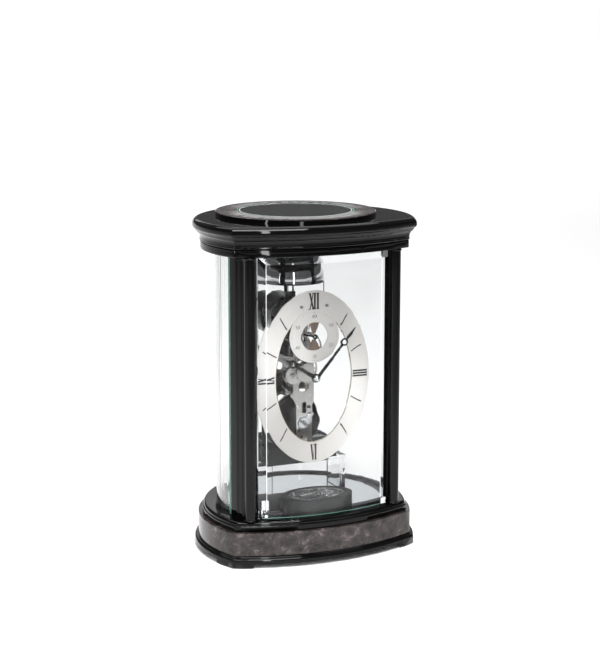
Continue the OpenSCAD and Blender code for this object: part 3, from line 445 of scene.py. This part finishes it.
class CLOCK_OT_glazing(bpy.types.Operator):
    """Glazes the door, the two bent sides and the top, and hangs the door's steel fittings"""

    bl_idname = "clock.glazing"
    bl_label = "Glazing"
    bl_options = {"REGISTER", "UNDO"}

    def execute(self, context):
        glass = float_glass()
        for node in ("front_glass", "side_glass_left", "side_glass_right", "top_glass"):
            refined(node, glass, angle=math.radians(4))
        self.ground_edges()
        steel = polished_metal("nickel-plated steel", "#c9cacc", 0.08, 0.2)
        for node in ("door_clips", "door_pins", "door_strike_plate", "door_magnet"):
            assign(steel, NODES[node])
        return {"FINISHED"}

    def ground_edges(self):
        """White strips that paint the highlights on the arrises of the door's bevels, and the green ground
        edges of all the panes.
        """
        # painted highlight: near-white paint strips stand for the light that the bevels' arrises catch
        arris = paint("painted arris highlight", "#f4f6f6", 0.1, 0.2)
        green = paint("ground glass edge", "#4f7a6e", 0.3, 0.45)
        low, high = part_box("front_glass")
        for name, x in (("left", low.x + ARRIS_IN), ("right", high.x - ARRIS_IN)):
            bm = bmesh.new()
            size = Matrix.Diagonal((0.55 * MM, 0.3 * MM, high.z - low.z - 2 * ARRIS_IN, 1))
            front_y = DOOR_BOW_Y - math.sqrt(DOOR_BOW**2 - x**2) + 0.16 * MM
            at = Matrix.Translation((x, front_y, (low.z + high.z) / 2))
            bmesh.ops.create_cube(bm, size=1, matrix=at @ size)
            bmesh.ops.bevel(bm, geom=bm.edges, offset=0.08 * MM, affect="EDGES", segments=1, profile=0.5,
                            material=-1)
            new_object(f"painted_arris_highlight_{name}", bm, arris, "door")
        for side in ("left", "right"):
            self.side_edge(side, green)
        self.top_bevel(green, arris)
        for name, z in (("foot", low.z + 0.25 * MM), ("head", high.z - 0.25 * MM)):
            bm = bmesh.new()
            half = math.asin(80 * MM / DOOR_BOW)
            start = Vector((0, DOOR_BOW_Y - DOOR_BOW + 3.2 * MM, z))
            corners = [bm.verts.new(start + Vector((0, dy * MM, dz * MM)))
                       for dy, dz in ((-0.4, -0.25), (0.9, -0.25), (0.9, 0.25), (-0.4, 0.25))]
            section = bm.faces.new(corners)
            bmesh.ops.rotate(bm, verts=bm.verts, cent=(0, DOOR_BOW_Y, 0),
                             matrix=Matrix.Rotation(-half, 3, "Z"))
            bmesh.ops.spin(bm, geom=[section, *section.edges, *section.verts], cent=(0, DOOR_BOW_Y, 0),
                           axis=(0, 0, 1), angle=2 * half, steps=48)
            bmesh.ops.recalc_face_normals(bm, faces=bm.faces)
            new_object(f"ground_edge_{name}", bm, green, "door", math.radians(30))

    def side_edge(self, side, mat):
        """The green ground edge of a bent side pane, beside its corner post."""
        mesh = NODES[f"side_glass_{side}"].data
        low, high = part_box(f"side_glass_{side}")
        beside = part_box(f"corner_post_{side}")[1].y + 1.4 * MM
        near = min(abs(v.co.y - beside) for v in mesh.vertices)
        outer = max((v.co for v in mesh.vertices if abs(v.co.y - beside) < near + 0.1 * MM),
                    key=lambda co: abs(co.x))
        bm = bmesh.new()
        size = Matrix.Diagonal((0.5 * MM, 4.5 * MM, high.z - low.z - 1 * MM, 1))
        at = Matrix.Translation((outer.x, beside + 2.3 * MM, (low.z + high.z) / 2))
        bmesh.ops.create_cube(bm, size=1, matrix=at @ size)
        bmesh.ops.bevel(bm, geom=bm.edges, offset=0.08 * MM, affect="EDGES", segments=1, profile=0.5,
                        material=-1)
        new_object(f"ground_edge_{side}", bm, mat, "case")

    def top_bevel(self, green, bright):
        """The bevel round the top pane: a green ground rim inside a white ring that paints the arris's
        highlight.
        """
        low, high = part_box("top_glass")
        centre, radius = (low + high) / 2, (high.x - low.x) / 2
        # the arris ring is a painted highlight in near-white paint
        for name, mat, outer, wide in (("rim", green, radius - 0.3 * MM, 1.2 * MM),
                                       ("arris", bright, radius - 3.2 * MM, 0.8 * MM)):
            bm = bmesh.new()
            corners = [bm.verts.new((outer - dx, 0, high.z + dz))
                       for dx, dz in ((0, -0.2 * MM), (wide, -0.2 * MM), (wide, 0.04 * MM), (0, 0.04 * MM))]
            section = bm.faces.new(corners)
            bmesh.ops.spin(bm, geom=[section, *section.edges, *section.verts], cent=(0, 0, 0), axis=(0, 0, 1),
                           angle=math.tau, steps=160, use_merge=True)
            if section.is_valid:
                bmesh.ops.delete(bm, geom=[section], context="FACES_ONLY")
            bmesh.ops.translate(bm, verts=bm.verts, vec=(centre.x, centre.y, 0))
            bmesh.ops.recalc_face_normals(bm, faces=bm.faces)
            new_object(f"top_glass_{name}", bm, mat, "case", math.radians(30))


class CLOCK_OT_inside(bpy.types.Operator):
    """Finishes the deck mirror, riser, seat board, pedestal, tray and key"""

    bl_idname = "clock.inside"
    bl_label = "Inside the case"
    bl_options = {"REGISTER", "UNDO"}

    def execute(self, context):
        lacquer = bpy.data.materials["piano lacquer"]
        satin = paint("satin black lacquer", "#050505", 0.32, 0.42)
        refined("pedestal", satin)
        self.plinth(satin)
        refined("movement_seat", lacquer)
        refined("acrylic_riser", cast_acrylic(), bevel_mm=0.4)
        assign(polished_metal("silvered mirror", "#dfe3e6", 0.02, 0.05, 30), NODES["mirror_floor"])
        nickel = polished_metal("polished nickel", "#d2d3d4", 0.06, 0.16)
        refined("key_tray", nickel, bevel_mm=0.25)
        refined("winding_key", nickel, bevel_mm=0.3)
        return {"FINISHED"}

    def plinth(self, mat):
        """The thin black board that lies on the mirror in front of the riser."""
        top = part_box("mirror_floor")[1].z
        outline = [(-80, -46), (-60, -61), (-38, -68), (0, -69), (24, -67), (24, 4), (-88, 4), (-90, -20)]
        bm = bmesh.new()
        face = bm.faces.new([bm.verts.new((x * MM, y * MM, top)) for x, y in outline])
        raised = bmesh.ops.extrude_face_region(bm, geom=[face])["geom"]
        bmesh.ops.translate(bm, verts=[v for v in raised if isinstance(v, bmesh.types.BMVert)],
                            vec=(0, 0, 0.6 * MM))
        bmesh.ops.recalc_face_normals(bm, faces=bm.faces)
        bmesh.ops.bevel(bm, geom=bm.edges, offset=0.15 * MM, affect="EDGES", segments=2, profile=0.5,
                        material=-1)
        new_object("base_plinth", bm, mat, "case", math.radians(40))


class CLOCK_OT_dial(bpy.types.Operator):
    """Silvers the dial and prints its numerals, hour marks and seconds"""

    bl_idname = "clock.dial"
    bl_label = "Dial"
    bl_options = {"REGISTER", "UNDO"}

    def execute(self, context):
        dial = context.scene.clock_dial
        silver = silvered_dial()
        assign(silver, NODES["dial_ring"])
        refined("seconds_ring", silver)
        low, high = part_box("dial_ring")
        face_y, mid_z = low.y, (low.z + high.z) / 2
        ink = paint("dial ink", "#0f0f11", 0.4, 0.55)
        self.hours(dial, ink, face_y, mid_z)
        self.seconds(dial, paint("seconds ink", "#4a4a4c", 0.4, 0.55))
        self.edge(dial, face_y, mid_z)
        return {"FINISHED"}

    def bar(self, bm, place, p, q, width_p, width_q, depth):
        """One tapered stroke from p to q in millimetres, raised by depth."""
        a, b = Vector(p), Vector(q)
        side = Vector((-(b - a).y, (b - a).x)).normalized()
        corners = [a + side * width_p / 2, a - side * width_p / 2, b - side * width_q / 2,
                   b + side * width_q / 2]
        verts = [bm.verts.new((c.x * MM, 0, c.y * MM)) for c in corners]
        face = bm.faces.new(verts)
        made = bmesh.ops.extrude_face_region(bm, geom=[face])["geom"]
        raised = [v for v in made if isinstance(v, bmesh.types.BMVert)]
        bmesh.ops.translate(bm, verts=raised, vec=(0, -depth, 0))
        bmesh.ops.transform(bm, verts=verts + raised, matrix=place)

    def letter(self, bm, place, kind, x, h, depth):
        """A serifed I, V or X of height h, centred at x."""
        thick, thin, serif = 0.115 * h, 0.06 * h, 0.055 * h
        top, foot = h / 2, -h / 2
        if kind == "I":
            self.bar(bm, place, (x, foot), (x, top), thick, thick, depth)
            feet = [(x, foot), (x, top)]
            half = 0.075 * h
        elif kind == "V":
            self.bar(bm, place, (x - 0.1 * h, top), (x, foot), thick, thick * 0.7, depth)
            self.bar(bm, place, (x + 0.11 * h, top), (x + 0.01 * h, foot), thin, thin, depth)
            feet = [(x - 0.1 * h, top), (x + 0.11 * h, top)]
            half = 0.07 * h
        else:
            self.bar(bm, place, (x - 0.11 * h, top), (x + 0.11 * h, foot), thick, thick, depth)
            self.bar(bm, place, (x + 0.11 * h, top), (x - 0.11 * h, foot), thin, thin, depth)
            feet = [(x + sx * 0.11 * h, z) for sx in (-1, 1) for z in (foot, top)]
            half = 0.07 * h
        for fx, fz in feet:
            inset = serif / 2 if fz < 0 else -serif / 2
            self.bar(bm, place, (fx - half, fz + inset), (fx + half, fz + inset), serif, serif, depth)

    def rim(self, dial, angle, inner):
        """Distance from the centre to one of the dial's ovals, clockwise from 12."""
        a, b = (dial.inner_a, dial.inner_b) if inner else (dial.outer_a, dial.outer_b)
        return 1 / math.hypot(math.sin(angle) / a, math.cos(angle) / b)

    def hours(self, dial, ink, face_y, mid_z):
        """Roman numerals at the quarters and plain bars at the other hours."""
        numerals = {0: "XII", 3: "III", 6: "VI", 9: "IX"}
        advance = {"I": 0.165, "V": 0.27, "X": 0.3}
        bm = bmesh.new()
        for hour in range(12):
            angle = math.radians(hour * 30)
            near, far = self.rim(dial, angle, True), self.rim(dial, angle, False)
            out = Vector((math.sin(angle), 0, math.cos(angle)))
            if hour in numerals:
                h = dial.numeral_h / MM * (1.0 if hour in (0, 6) else 0.94)
                turn = {0: 0, 3: math.pi / 2, 6: 0, 9: -math.pi / 2}[hour]
                at = out * (near + far) / 2 + Vector((0, face_y + 0.01 * MM, mid_z))
                place = Matrix.Translation(at) @ Matrix.Rotation(turn, 4, "Y")
                word = numerals[hour]
                wide = sum(advance[c] for c in word)
                x = -wide * h / 2
                for c in word:
                    self.letter(bm, place, c, x + advance[c] * h / 2, h, dial.ink_t)
                    x += advance[c] * h
            else:
                place = Matrix.Translation((0, face_y + 0.01 * MM, mid_z)) @ Matrix.Rotation(angle, 4, "Y")
                self.bar(bm, place, (0, near / MM + 3), (0, far / MM - 6), 1.5, 1.5, dial.ink_t)
        bmesh.ops.recalc_face_normals(bm, faces=bm.faces)
        new_object("hour_print", bm, ink, "case")

    def seconds(self, dial, ink):
        """Ticks and tens round the seconds ring."""
        low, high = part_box("seconds_ring")
        face_y, mid_z = low.y, (low.z + high.z) / 2
        outer = (high.z - low.z) / 2
        bm = bmesh.new()
        for i in range(dial.seconds_dots):
            angle = math.tau * i / dial.seconds_dots
            big = i % 5 == 0
            place = Matrix.Translation((0, face_y + 0.01 * MM, mid_z)) @ Matrix.Rotation(angle, 4, "Y")
            r = outer / MM - 2.6
            self.bar(bm, place, (0, r - (0.8 if big else 0.35)), (0, r + 0.35), 0.7 if big else 0.45,
                     0.7 if big else 0.45, dial.ink_t)
        bmesh.ops.recalc_face_normals(bm, faces=bm.faces)
        new_object("seconds_print", bm, ink, "case")
        for i, text in enumerate(("60", "10", "20", "30", "40", "50")):
            angle = math.radians(60 * i)
            curve = bpy.data.curves.new("seconds_numeral", "FONT")
            curve.body, curve.size, curve.align_x, curve.align_y = text, 6.2 * MM, "CENTER", "CENTER"
            curve.extrude = 0.04 * MM
            shown = bpy.data.objects.new("seconds_numeral", curve)
            bpy.context.scene.collection.objects.link(shown)
            bpy.context.view_layer.update()
            depsgraph = bpy.context.evaluated_depsgraph_get()
            mesh = bpy.data.meshes.new_from_object(shown.evaluated_get(depsgraph))
            bpy.data.objects.remove(shown)
            r = outer - 7.6 * MM
            at = Vector((r * math.sin(angle), face_y - 0.03 * MM, mid_z + r * math.cos(angle)))
            numeral = bmesh.new()
            numeral.from_mesh(mesh)
            bpy.data.meshes.remove(mesh)
            bmesh.ops.remove_doubles(numeral, verts=numeral.verts, dist=0.001 * MM)
            bmesh.ops.transform(numeral, verts=numeral.verts,
                                matrix=Matrix.Translation(at) @ Matrix.Rotation(math.pi / 2, 4, "X"))
            new_object(f"seconds_numeral_{text}", numeral, ink, "case")

    def edge(self, dial, face_y, mid_z):
        """The gilt line round the dial's opening."""
        gilt = polished_metal("gilt edge", "#8d7a58", 0.2, 0.35)
        bm = bmesh.new()
        turns = [math.tau * i / 180 for i in range(180)]
        ring = [bm.verts.new((dial.inner_a * math.cos(t), face_y + 0.02 * MM,
                              mid_z + dial.inner_b * math.sin(t))) for t in turns]
        loop = [bm.edges.new((ring[i - 1], ring[i])) for i in range(180)]
        wide = bmesh.ops.extrude_edge_only(bm, edges=loop)["geom"]
        moved = [v for v in wide if isinstance(v, bmesh.types.BMVert)]
        for v in moved:
            out = Vector((v.co.x / dial.inner_a**2, 0, (v.co.z - mid_z) / dial.inner_b**2)).normalized()
            v.co += out * 0.7 * MM
        flat = list(bm.faces)
        raised = bmesh.ops.extrude_face_region(bm, geom=flat)["geom"]
        bmesh.ops.translate(bm, verts=[v for v in raised if isinstance(v, bmesh.types.BMVert)],
                            vec=(0, -0.1 * MM, 0))
        bmesh.ops.recalc_face_normals(bm, faces=bm.faces)
        new_object("dial_edge_line", bm, gilt, "case")


class CLOCK_OT_hands(bpy.types.Operator):
    """Paints the three hands and polishes the nut that holds them"""

    bl_idname = "clock.hands"
    bl_label = "Hands"
    bl_options = {"REGISTER", "UNDO"}

    def execute(self, context):
        enamel = paint("black hand enamel", "#060607", 0.18, 0.3)
        self.hand("hour_hand", enamel, 303.4, hub=5.6, bore=3.0, root=4.6, waist=3.4, ring_at=36.4,
                  length=49.0)
        self.hand("minute_hand", enamel, 40.4, hub=4.6, bore=2.0, root=4.2, waist=2.9, ring_at=56.7,
                  length=79.5)
        self.seconds_hand(enamel, 285)
        refined("hand_nut", polished_metal("turned nut", "#d6d7d8", 0.08, 0.16))
        return {"FINISHED"}

    def frame_of(self, node, angle):
        """Middle and place matrix of a hand that turns about its hub, back face first."""
        low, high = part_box(node)
        ring_low, ring_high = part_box("seconds_ring" if node == "seconds_hand" else "dial_ring")
        at = Vector((0, high.y, (ring_low.z + ring_high.z) / 2))
        return Matrix.Translation(at) @ Matrix.Rotation(math.radians(angle), 4, "Y"), high.y - low.y

    def plate(self, bm, outline, thick, place):
        """A flat shape in millimetres raised by its thickness towards the front."""
        face = bm.faces.new([bm.verts.new((x * MM, 0, z * MM)) for x, z in outline])
        made = bmesh.ops.extrude_face_region(bm, geom=[face])["geom"]
        raised = [v for v in made if isinstance(v, bmesh.types.BMVert)]
        bmesh.ops.translate(bm, verts=raised, vec=(0, -thick, 0))
        bmesh.ops.transform(bm, verts=list(face.verts) + raised, matrix=place)

    def disc(self, bm, z, outer, inner, thick, place, sides=40):
        """A washer of the hand, centred z millimetres up it."""
        start = [bm.verts.new((r * MM, y, 0)) for r, y in
                 ((inner, 0), (outer, 0), (outer, -thick), (inner, -thick))]
        edges = [bm.edges.new((start[i], start[(i + 1) % 4])) for i in range(4)]
        before = set(bm.verts) - set(start)
        bmesh.ops.spin(bm, geom=start + edges, cent=(0, 0, 0), axis=(0, 1, 0), angle=math.tau, steps=sides,
                       use_merge=True)
        ring = [v for v in bm.verts if v not in before]
        bmesh.ops.transform(bm, verts=ring, matrix=place @ Matrix.Translation((0, 0, z * MM)))

    def finish_hand(self, node, bm, enamel):
        bmesh.ops.recalc_face_normals(bm, faces=bm.faces)
        hand = new_object(node + "_finish", bm, enamel, body_named(node), math.radians(35))
        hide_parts(node)

    def hand(self, node, enamel, angle, hub, bore, root, waist, ring_at, length):
        """A baton hand with a ring before its tip, its radii, widths and lengths in millimetres."""
        ring_r, ring_wall = 4.8, 1.8
        place, thick = self.frame_of(node, angle)
        bm = bmesh.new()
        self.plate(bm, [(-root / 2, hub - 0.8), (root / 2, hub - 0.8), (waist / 2, ring_at - ring_r + 0.4),
                        (-waist / 2, ring_at - ring_r + 0.4)], thick, place)
        self.plate(bm, [(-waist / 2, ring_at + ring_r - 0.4), (waist / 2, ring_at + ring_r - 0.4),
                        (waist / 1.7, length - 8), (0.3, length), (-0.3, length),
                        (-waist / 1.7, length - 8)], thick, place)
        self.disc(bm, 0, hub, bore, thick, place)
        self.disc(bm, ring_at, ring_r, ring_r - ring_wall, thick, place)
        self.finish_hand(node, bm, enamel)

    def seconds_hand(self, enamel, angle):
        """A short hand with two round eyes near its tip."""
        place, thick = self.frame_of("seconds_hand", angle)
        bm = bmesh.new()
        self.plate(bm, [(-1.3, 2.2), (1.3, 2.2), (0.9, 15.6), (-0.9, 15.6)], thick, place)
        self.disc(bm, 0, 3.4, 1.2, thick, place, 24)
        for z in (11.6, 15.0):
            self.disc(bm, z, 1.6, 0.2, thick * 1.05, place, 20)
        self.finish_hand("seconds_hand", bm, enamel)


class CLOCK_OT_movement(bpy.types.Operator):
    """Finishes the plates, train, barrel, escapement, drum and screws"""

    bl_idname = "clock.movement"
    bl_label = "Movement"
    bl_options = {"REGISTER", "UNDO"}

    def execute(self, context):
        plate = polished_metal("brushed nickel plate", "#b3b1ae", 0.1, 0.26, 0.8, (1, 1, 12))
        wheel = polished_metal("rhodium-plated brass", "#c4c2be", 0.12, 0.26, 0.6)
        steel = polished_metal("hardened steel", "#b9bbbe", 0.1, 0.22)
        blued = polished_metal("blued steel", "#38435e", 0.15, 0.28)
        bronze = polished_metal("dark barrel steel", "#3d3c3c", 0.3, 0.45)
        refined("front_plate", plate, bevel_mm=0.3)
        black_nickel = polished_metal("black nickel plate", "#4a4949", 0.2, 0.35, 0.8)
        refined("rear_plate", black_nickel, bevel_mm=0.3)
        self.hourglass()
        self.plate_details(steel, bronze)
        for node in ("intermediate_wheel", "center_wheel", "minute_wheel", "hour_wheel", "third_wheel",
                     "fourth_wheel", "escape_wheel", "balance_wheel", "balance_cock"):
            assign(wheel, NODES[node])
        for node in ("plate_pillars", "barrel_arbor", "cannon_pinion", "dial_feet"):
            refined(node, steel)
        for node in ("ratchet_wheel", "click", "minute_wheel_stud", "pallet_lever"):
            assign(steel, NODES[node])
        assign(blued, NODES["hairspring"])
        assign(steel, NODES["plate_screws"])
        refined("going_barrel", bronze)
        assign(bronze, NODES["mainspring"])
        refined("escapement_cover", bpy.data.materials["piano lacquer"])
        return {"FINISHED"}

    def plate_details(self, bright, dark):
        """Screw heads, and dark discs that paint the shade of small openings, over the front plate, wherever
        the plate is solid round them.
        """
        solid = bmesh.new()
        solid.from_mesh(NODES["front_plate"].data)
        tree = BVHTree.FromBMesh(solid)
        solid.free()
        low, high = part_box("front_plate")
        reach, edge = 5 * MM, 0.8 * MM
        radii = (2.4, 1.5, 1.9, 1.2)
        upright = Matrix.Rotation(math.pi / 2, 4, "X")
        # the dark discs are painted shade: they stand for openings in the plate, drawn as thin dark discs on
        # solid metal
        kinds = {"screw_heads": (bmesh.new(), bright, 0.35), "painted_opening_shade": (bmesh.new(), dark, 0.06)}
        for row in range(int((high.z - low.z) / (7.6 * MM))):
            for col in range(int((high.x - low.x) / (7.2 * MM))):
                x = low.x + (3.6 + 7.2 * col + 3.6 * (row % 2)) * MM
                z = low.z + (4 + 7.6 * row) * MM
                radius = radii[(row * 3 + col) % 4] * MM
                clear = radius + edge
                around = [Vector((x + clear * math.cos(t), low.y - reach, z + clear * math.sin(t)))
                          for t in (math.tau * i / 8 for i in range(8))]
                gaps = [tree.ray_cast(at, Vector((0, 1, 0)))[3] for at in around]
                if any(gap is None or abs(gap - reach) > 0.05 * MM for gap in gaps):
                    continue
                bm, _, proud = kinds["screw_heads" if (row + col) % 3 else "painted_opening_shade"]
                at = Matrix.Translation((x, low.y - proud / 2 * MM, z))
                bmesh.ops.create_cone(bm, cap_ends=True, segments=24, radius1=radius, radius2=radius * 0.86,
                                      depth=proud * MM, matrix=at @ upright)
        for name, (bm, mat, _) in kinds.items():
            new_object(name, bm, mat, "case", math.radians(30))

    def hourglass(self):
        """The two bronzed wings behind the seconds ring, either side of its arbor."""
        bronze = polished_metal("bronzed plate", "#8a7a6e", 0.25, 0.4, 0.5, (1, 1, 8))
        low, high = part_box("seconds_ring")
        mid_z, back_y = (low.z + high.z) / 2, high.y + 0.3 * MM
        bm = bmesh.new()
        for outline in ([(-9.2, -18.2), (9.2, -18.2), (2.4, -3.6), (-2.4, -3.6)],
                        [(-2.4, 3.6), (2.4, 3.6), (6.8, 18.2), (-6.8, 18.2)]):
            face = bm.faces.new([bm.verts.new((x * MM, back_y, mid_z + z * MM)) for x, z in outline])
            raised = bmesh.ops.extrude_face_region(bm, geom=[face])["geom"]
            bmesh.ops.translate(bm, verts=[v for v in raised if isinstance(v, bmesh.types.BMVert)],
                                vec=(0, -0.3 * MM, 0))
        bmesh.ops.recalc_face_normals(bm, faces=bm.faces)
        bmesh.ops.bevel(bm, geom=bm.edges, offset=0.05 * MM, affect="EDGES", segments=1, profile=0.5,
                        material=-1)
        new_object("hourglass_face", bm, bronze, "case")


class CLOCK_OT_bell(bpy.types.Operator):
    """Chromes the bell and finishes its posts, nut and hammer"""

    bl_idname = "clock.bell"
    bl_label = "Bell and hammer"
    bl_options = {"REGISTER", "UNDO"}

    def execute(self, context):
        refined("bell", polished_metal("chromed bell metal", "#dcdddf", 0.03, 0.07), angle=math.radians(40))
        refined("bell_bracket", bpy.data.materials["piano lacquer"])
        steel = bpy.data.materials["hardened steel"]
        refined("hammer", steel)
        assign(steel, NODES["bell_nut"])
        return {"FINISHED"}


class CLOCK_OT_studio(bpy.types.Operator):
    """Lays the pale floor and sets the soft lights and the camera"""

    bl_idname = "clock.studio"
    bl_label = "Studio"
    bl_options = {"REGISTER", "UNDO"}

    def execute(self, context):
        scene = context.scene
        self.floor(scene, scene.clock_studio)
        self.lights(scene)
        self.camera(scene, scene.clock_studio)
        return {"FINISHED"}

    def floor(self, scene, studio):
        bm = bmesh.new()
        bmesh.ops.create_grid(bm, x_segments=4, y_segments=4, size=studio.floor_size / 2)
        mesh = bpy.data.meshes.new("floor")
        bm.to_mesh(mesh)
        bm.free()
        mesh.materials.append(studio_paper(studio.floor_tint))
        floor = bpy.data.objects.new("floor", mesh)
        scene.collection.objects.link(floor)

    def lamp(self, scene, name, at, aim, size, power):
        data = bpy.data.lights.new(name, "AREA")
        data.shape, data.size, data.size_y, data.energy = "RECTANGLE", size[0], size[1], power
        lamp = bpy.data.objects.new(name, data)
        lamp.location = at
        lamp.rotation_mode = "QUATERNION"
        lamp.rotation_quaternion = (Vector(aim) - Vector(at)).to_track_quat("-Z", "Y")
        scene.collection.objects.link(lamp)

    def lights(self, scene):
        world = bpy.data.worlds.new("white studio")
        world.use_nodes = True
        tree = world.node_tree
        tree.nodes.clear()
        # white at the horizon, dim just above it, where polished black would mirror it, brighter overhead
        ray = add_node(tree, "ShaderNodeTexCoord").outputs["Generated"]
        up = add_node(tree, "ShaderNodeSeparateXYZ", links={"Vector": ray}).outputs["Z"]
        shade = add_node(tree, "ShaderNodeValToRGB", links={"Fac": up}, stops=[
            (0.05, (1, 1, 1, 1)), (0.075, (0.12, 0.12, 0.123, 1)), (0.22, (0.1, 0.1, 0.103, 1)),
            (0.8, (0.3, 0.3, 0.305, 1)),
        ])
        sky = add_node(tree, "ShaderNodeBackground", {"Strength": 1.0}, {"Color": shade})
        add_node(tree, "ShaderNodeOutputWorld", links={"Surface": sky})
        scene.world = world
        self.lamp(scene, "overhead softbox", (0, 1.0, 2.4), (0, 0.8, 0), (3.0, 2.4), 46)
        self.lamp(scene, "front softbox", (-0.2, -0.9, 1.7), (0, 0, 0.3), (1.0, 0.85), 46)
        self.lamp(scene, "front strip", (-0.55, -2.2, 1.25), (0, 0, 0.9), (0.17, 2.2), 28)
        self.lamp(scene, "left strip", (-1.75, -0.9, 0.85), (0, 0, 0.25), (0.10, 1.3), 15)
        self.lamp(scene, "back card", (2.07, 5.0, 1.85), (0, 0, 0.1), (3.6, 0.8), 8)
        scene.view_settings.view_transform = "Standard"

    def camera(self, scene, studio):
        data = bpy.data.cameras.new("studio camera")
        data.lens, data.sensor_width, data.shift_x, data.shift_y = studio.lens, 36, 0.0063, studio.shift_y
        data.clip_start, data.clip_end = 0.1, 200
        camera = bpy.data.objects.new("studio camera", data)
        camera.location = (-0.733, -1.7643, 0.6556)
        look = Vector((math.sin(studio.turn) * math.cos(studio.pitch),
                       math.cos(studio.turn) * math.cos(studio.pitch), -math.sin(studio.pitch)))
        camera.rotation_mode = "QUATERNION"
        camera.rotation_quaternion = look.to_track_quat("-Z", "Y")
        scene.collection.objects.link(camera)
        scene.camera = camera


STEPS = (
    CLOCK_OT_case, CLOCK_OT_glazing, CLOCK_OT_inside, CLOCK_OT_dial, CLOCK_OT_hands, CLOCK_OT_movement,
    CLOCK_OT_bell, CLOCK_OT_studio,
)


class CLOCK_PT_panel(bpy.types.Panel):
    """The clock's steps, in order"""

    bl_idname = "CLOCK_PT_panel"
    bl_label = "Skeleton clock"
    bl_space_type = "VIEW_3D"
    bl_region_type = "UI"
    bl_category = "Clock"

    def draw(self, context):
        for step in STEPS:
            self.layout.operator(step.bl_idname)


GROUPS = (
    ("clock_case", ClockCaseSettings),
    ("clock_dial", ClockDialSettings),
    ("clock_studio", ClockStudioSettings),
)


def register():
    for name, group in GROUPS:
        bpy.utils.register_class(group)
        setattr(bpy.types.Scene, name, PointerProperty(type=group))
    for step in (*STEPS, CLOCK_PT_panel):
        bpy.utils.register_class(step)


def unregister():
    for step in reversed((*STEPS, CLOCK_PT_panel)):
        bpy.utils.unregister_class(step)
    for name, group in reversed(GROUPS):
        delattr(bpy.types.Scene, name)
        bpy.utils.unregister_class(group)


def main():
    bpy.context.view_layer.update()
    register()
    bpy.ops.clock.case()
    bpy.ops.clock.glazing()
    bpy.ops.clock.inside()
    bpy.ops.clock.dial()
    bpy.ops.clock.hands()
    bpy.ops.clock.movement()
    bpy.ops.clock.bell()
    bpy.ops.clock.studio()


if __name__ == "__main__":
    main()
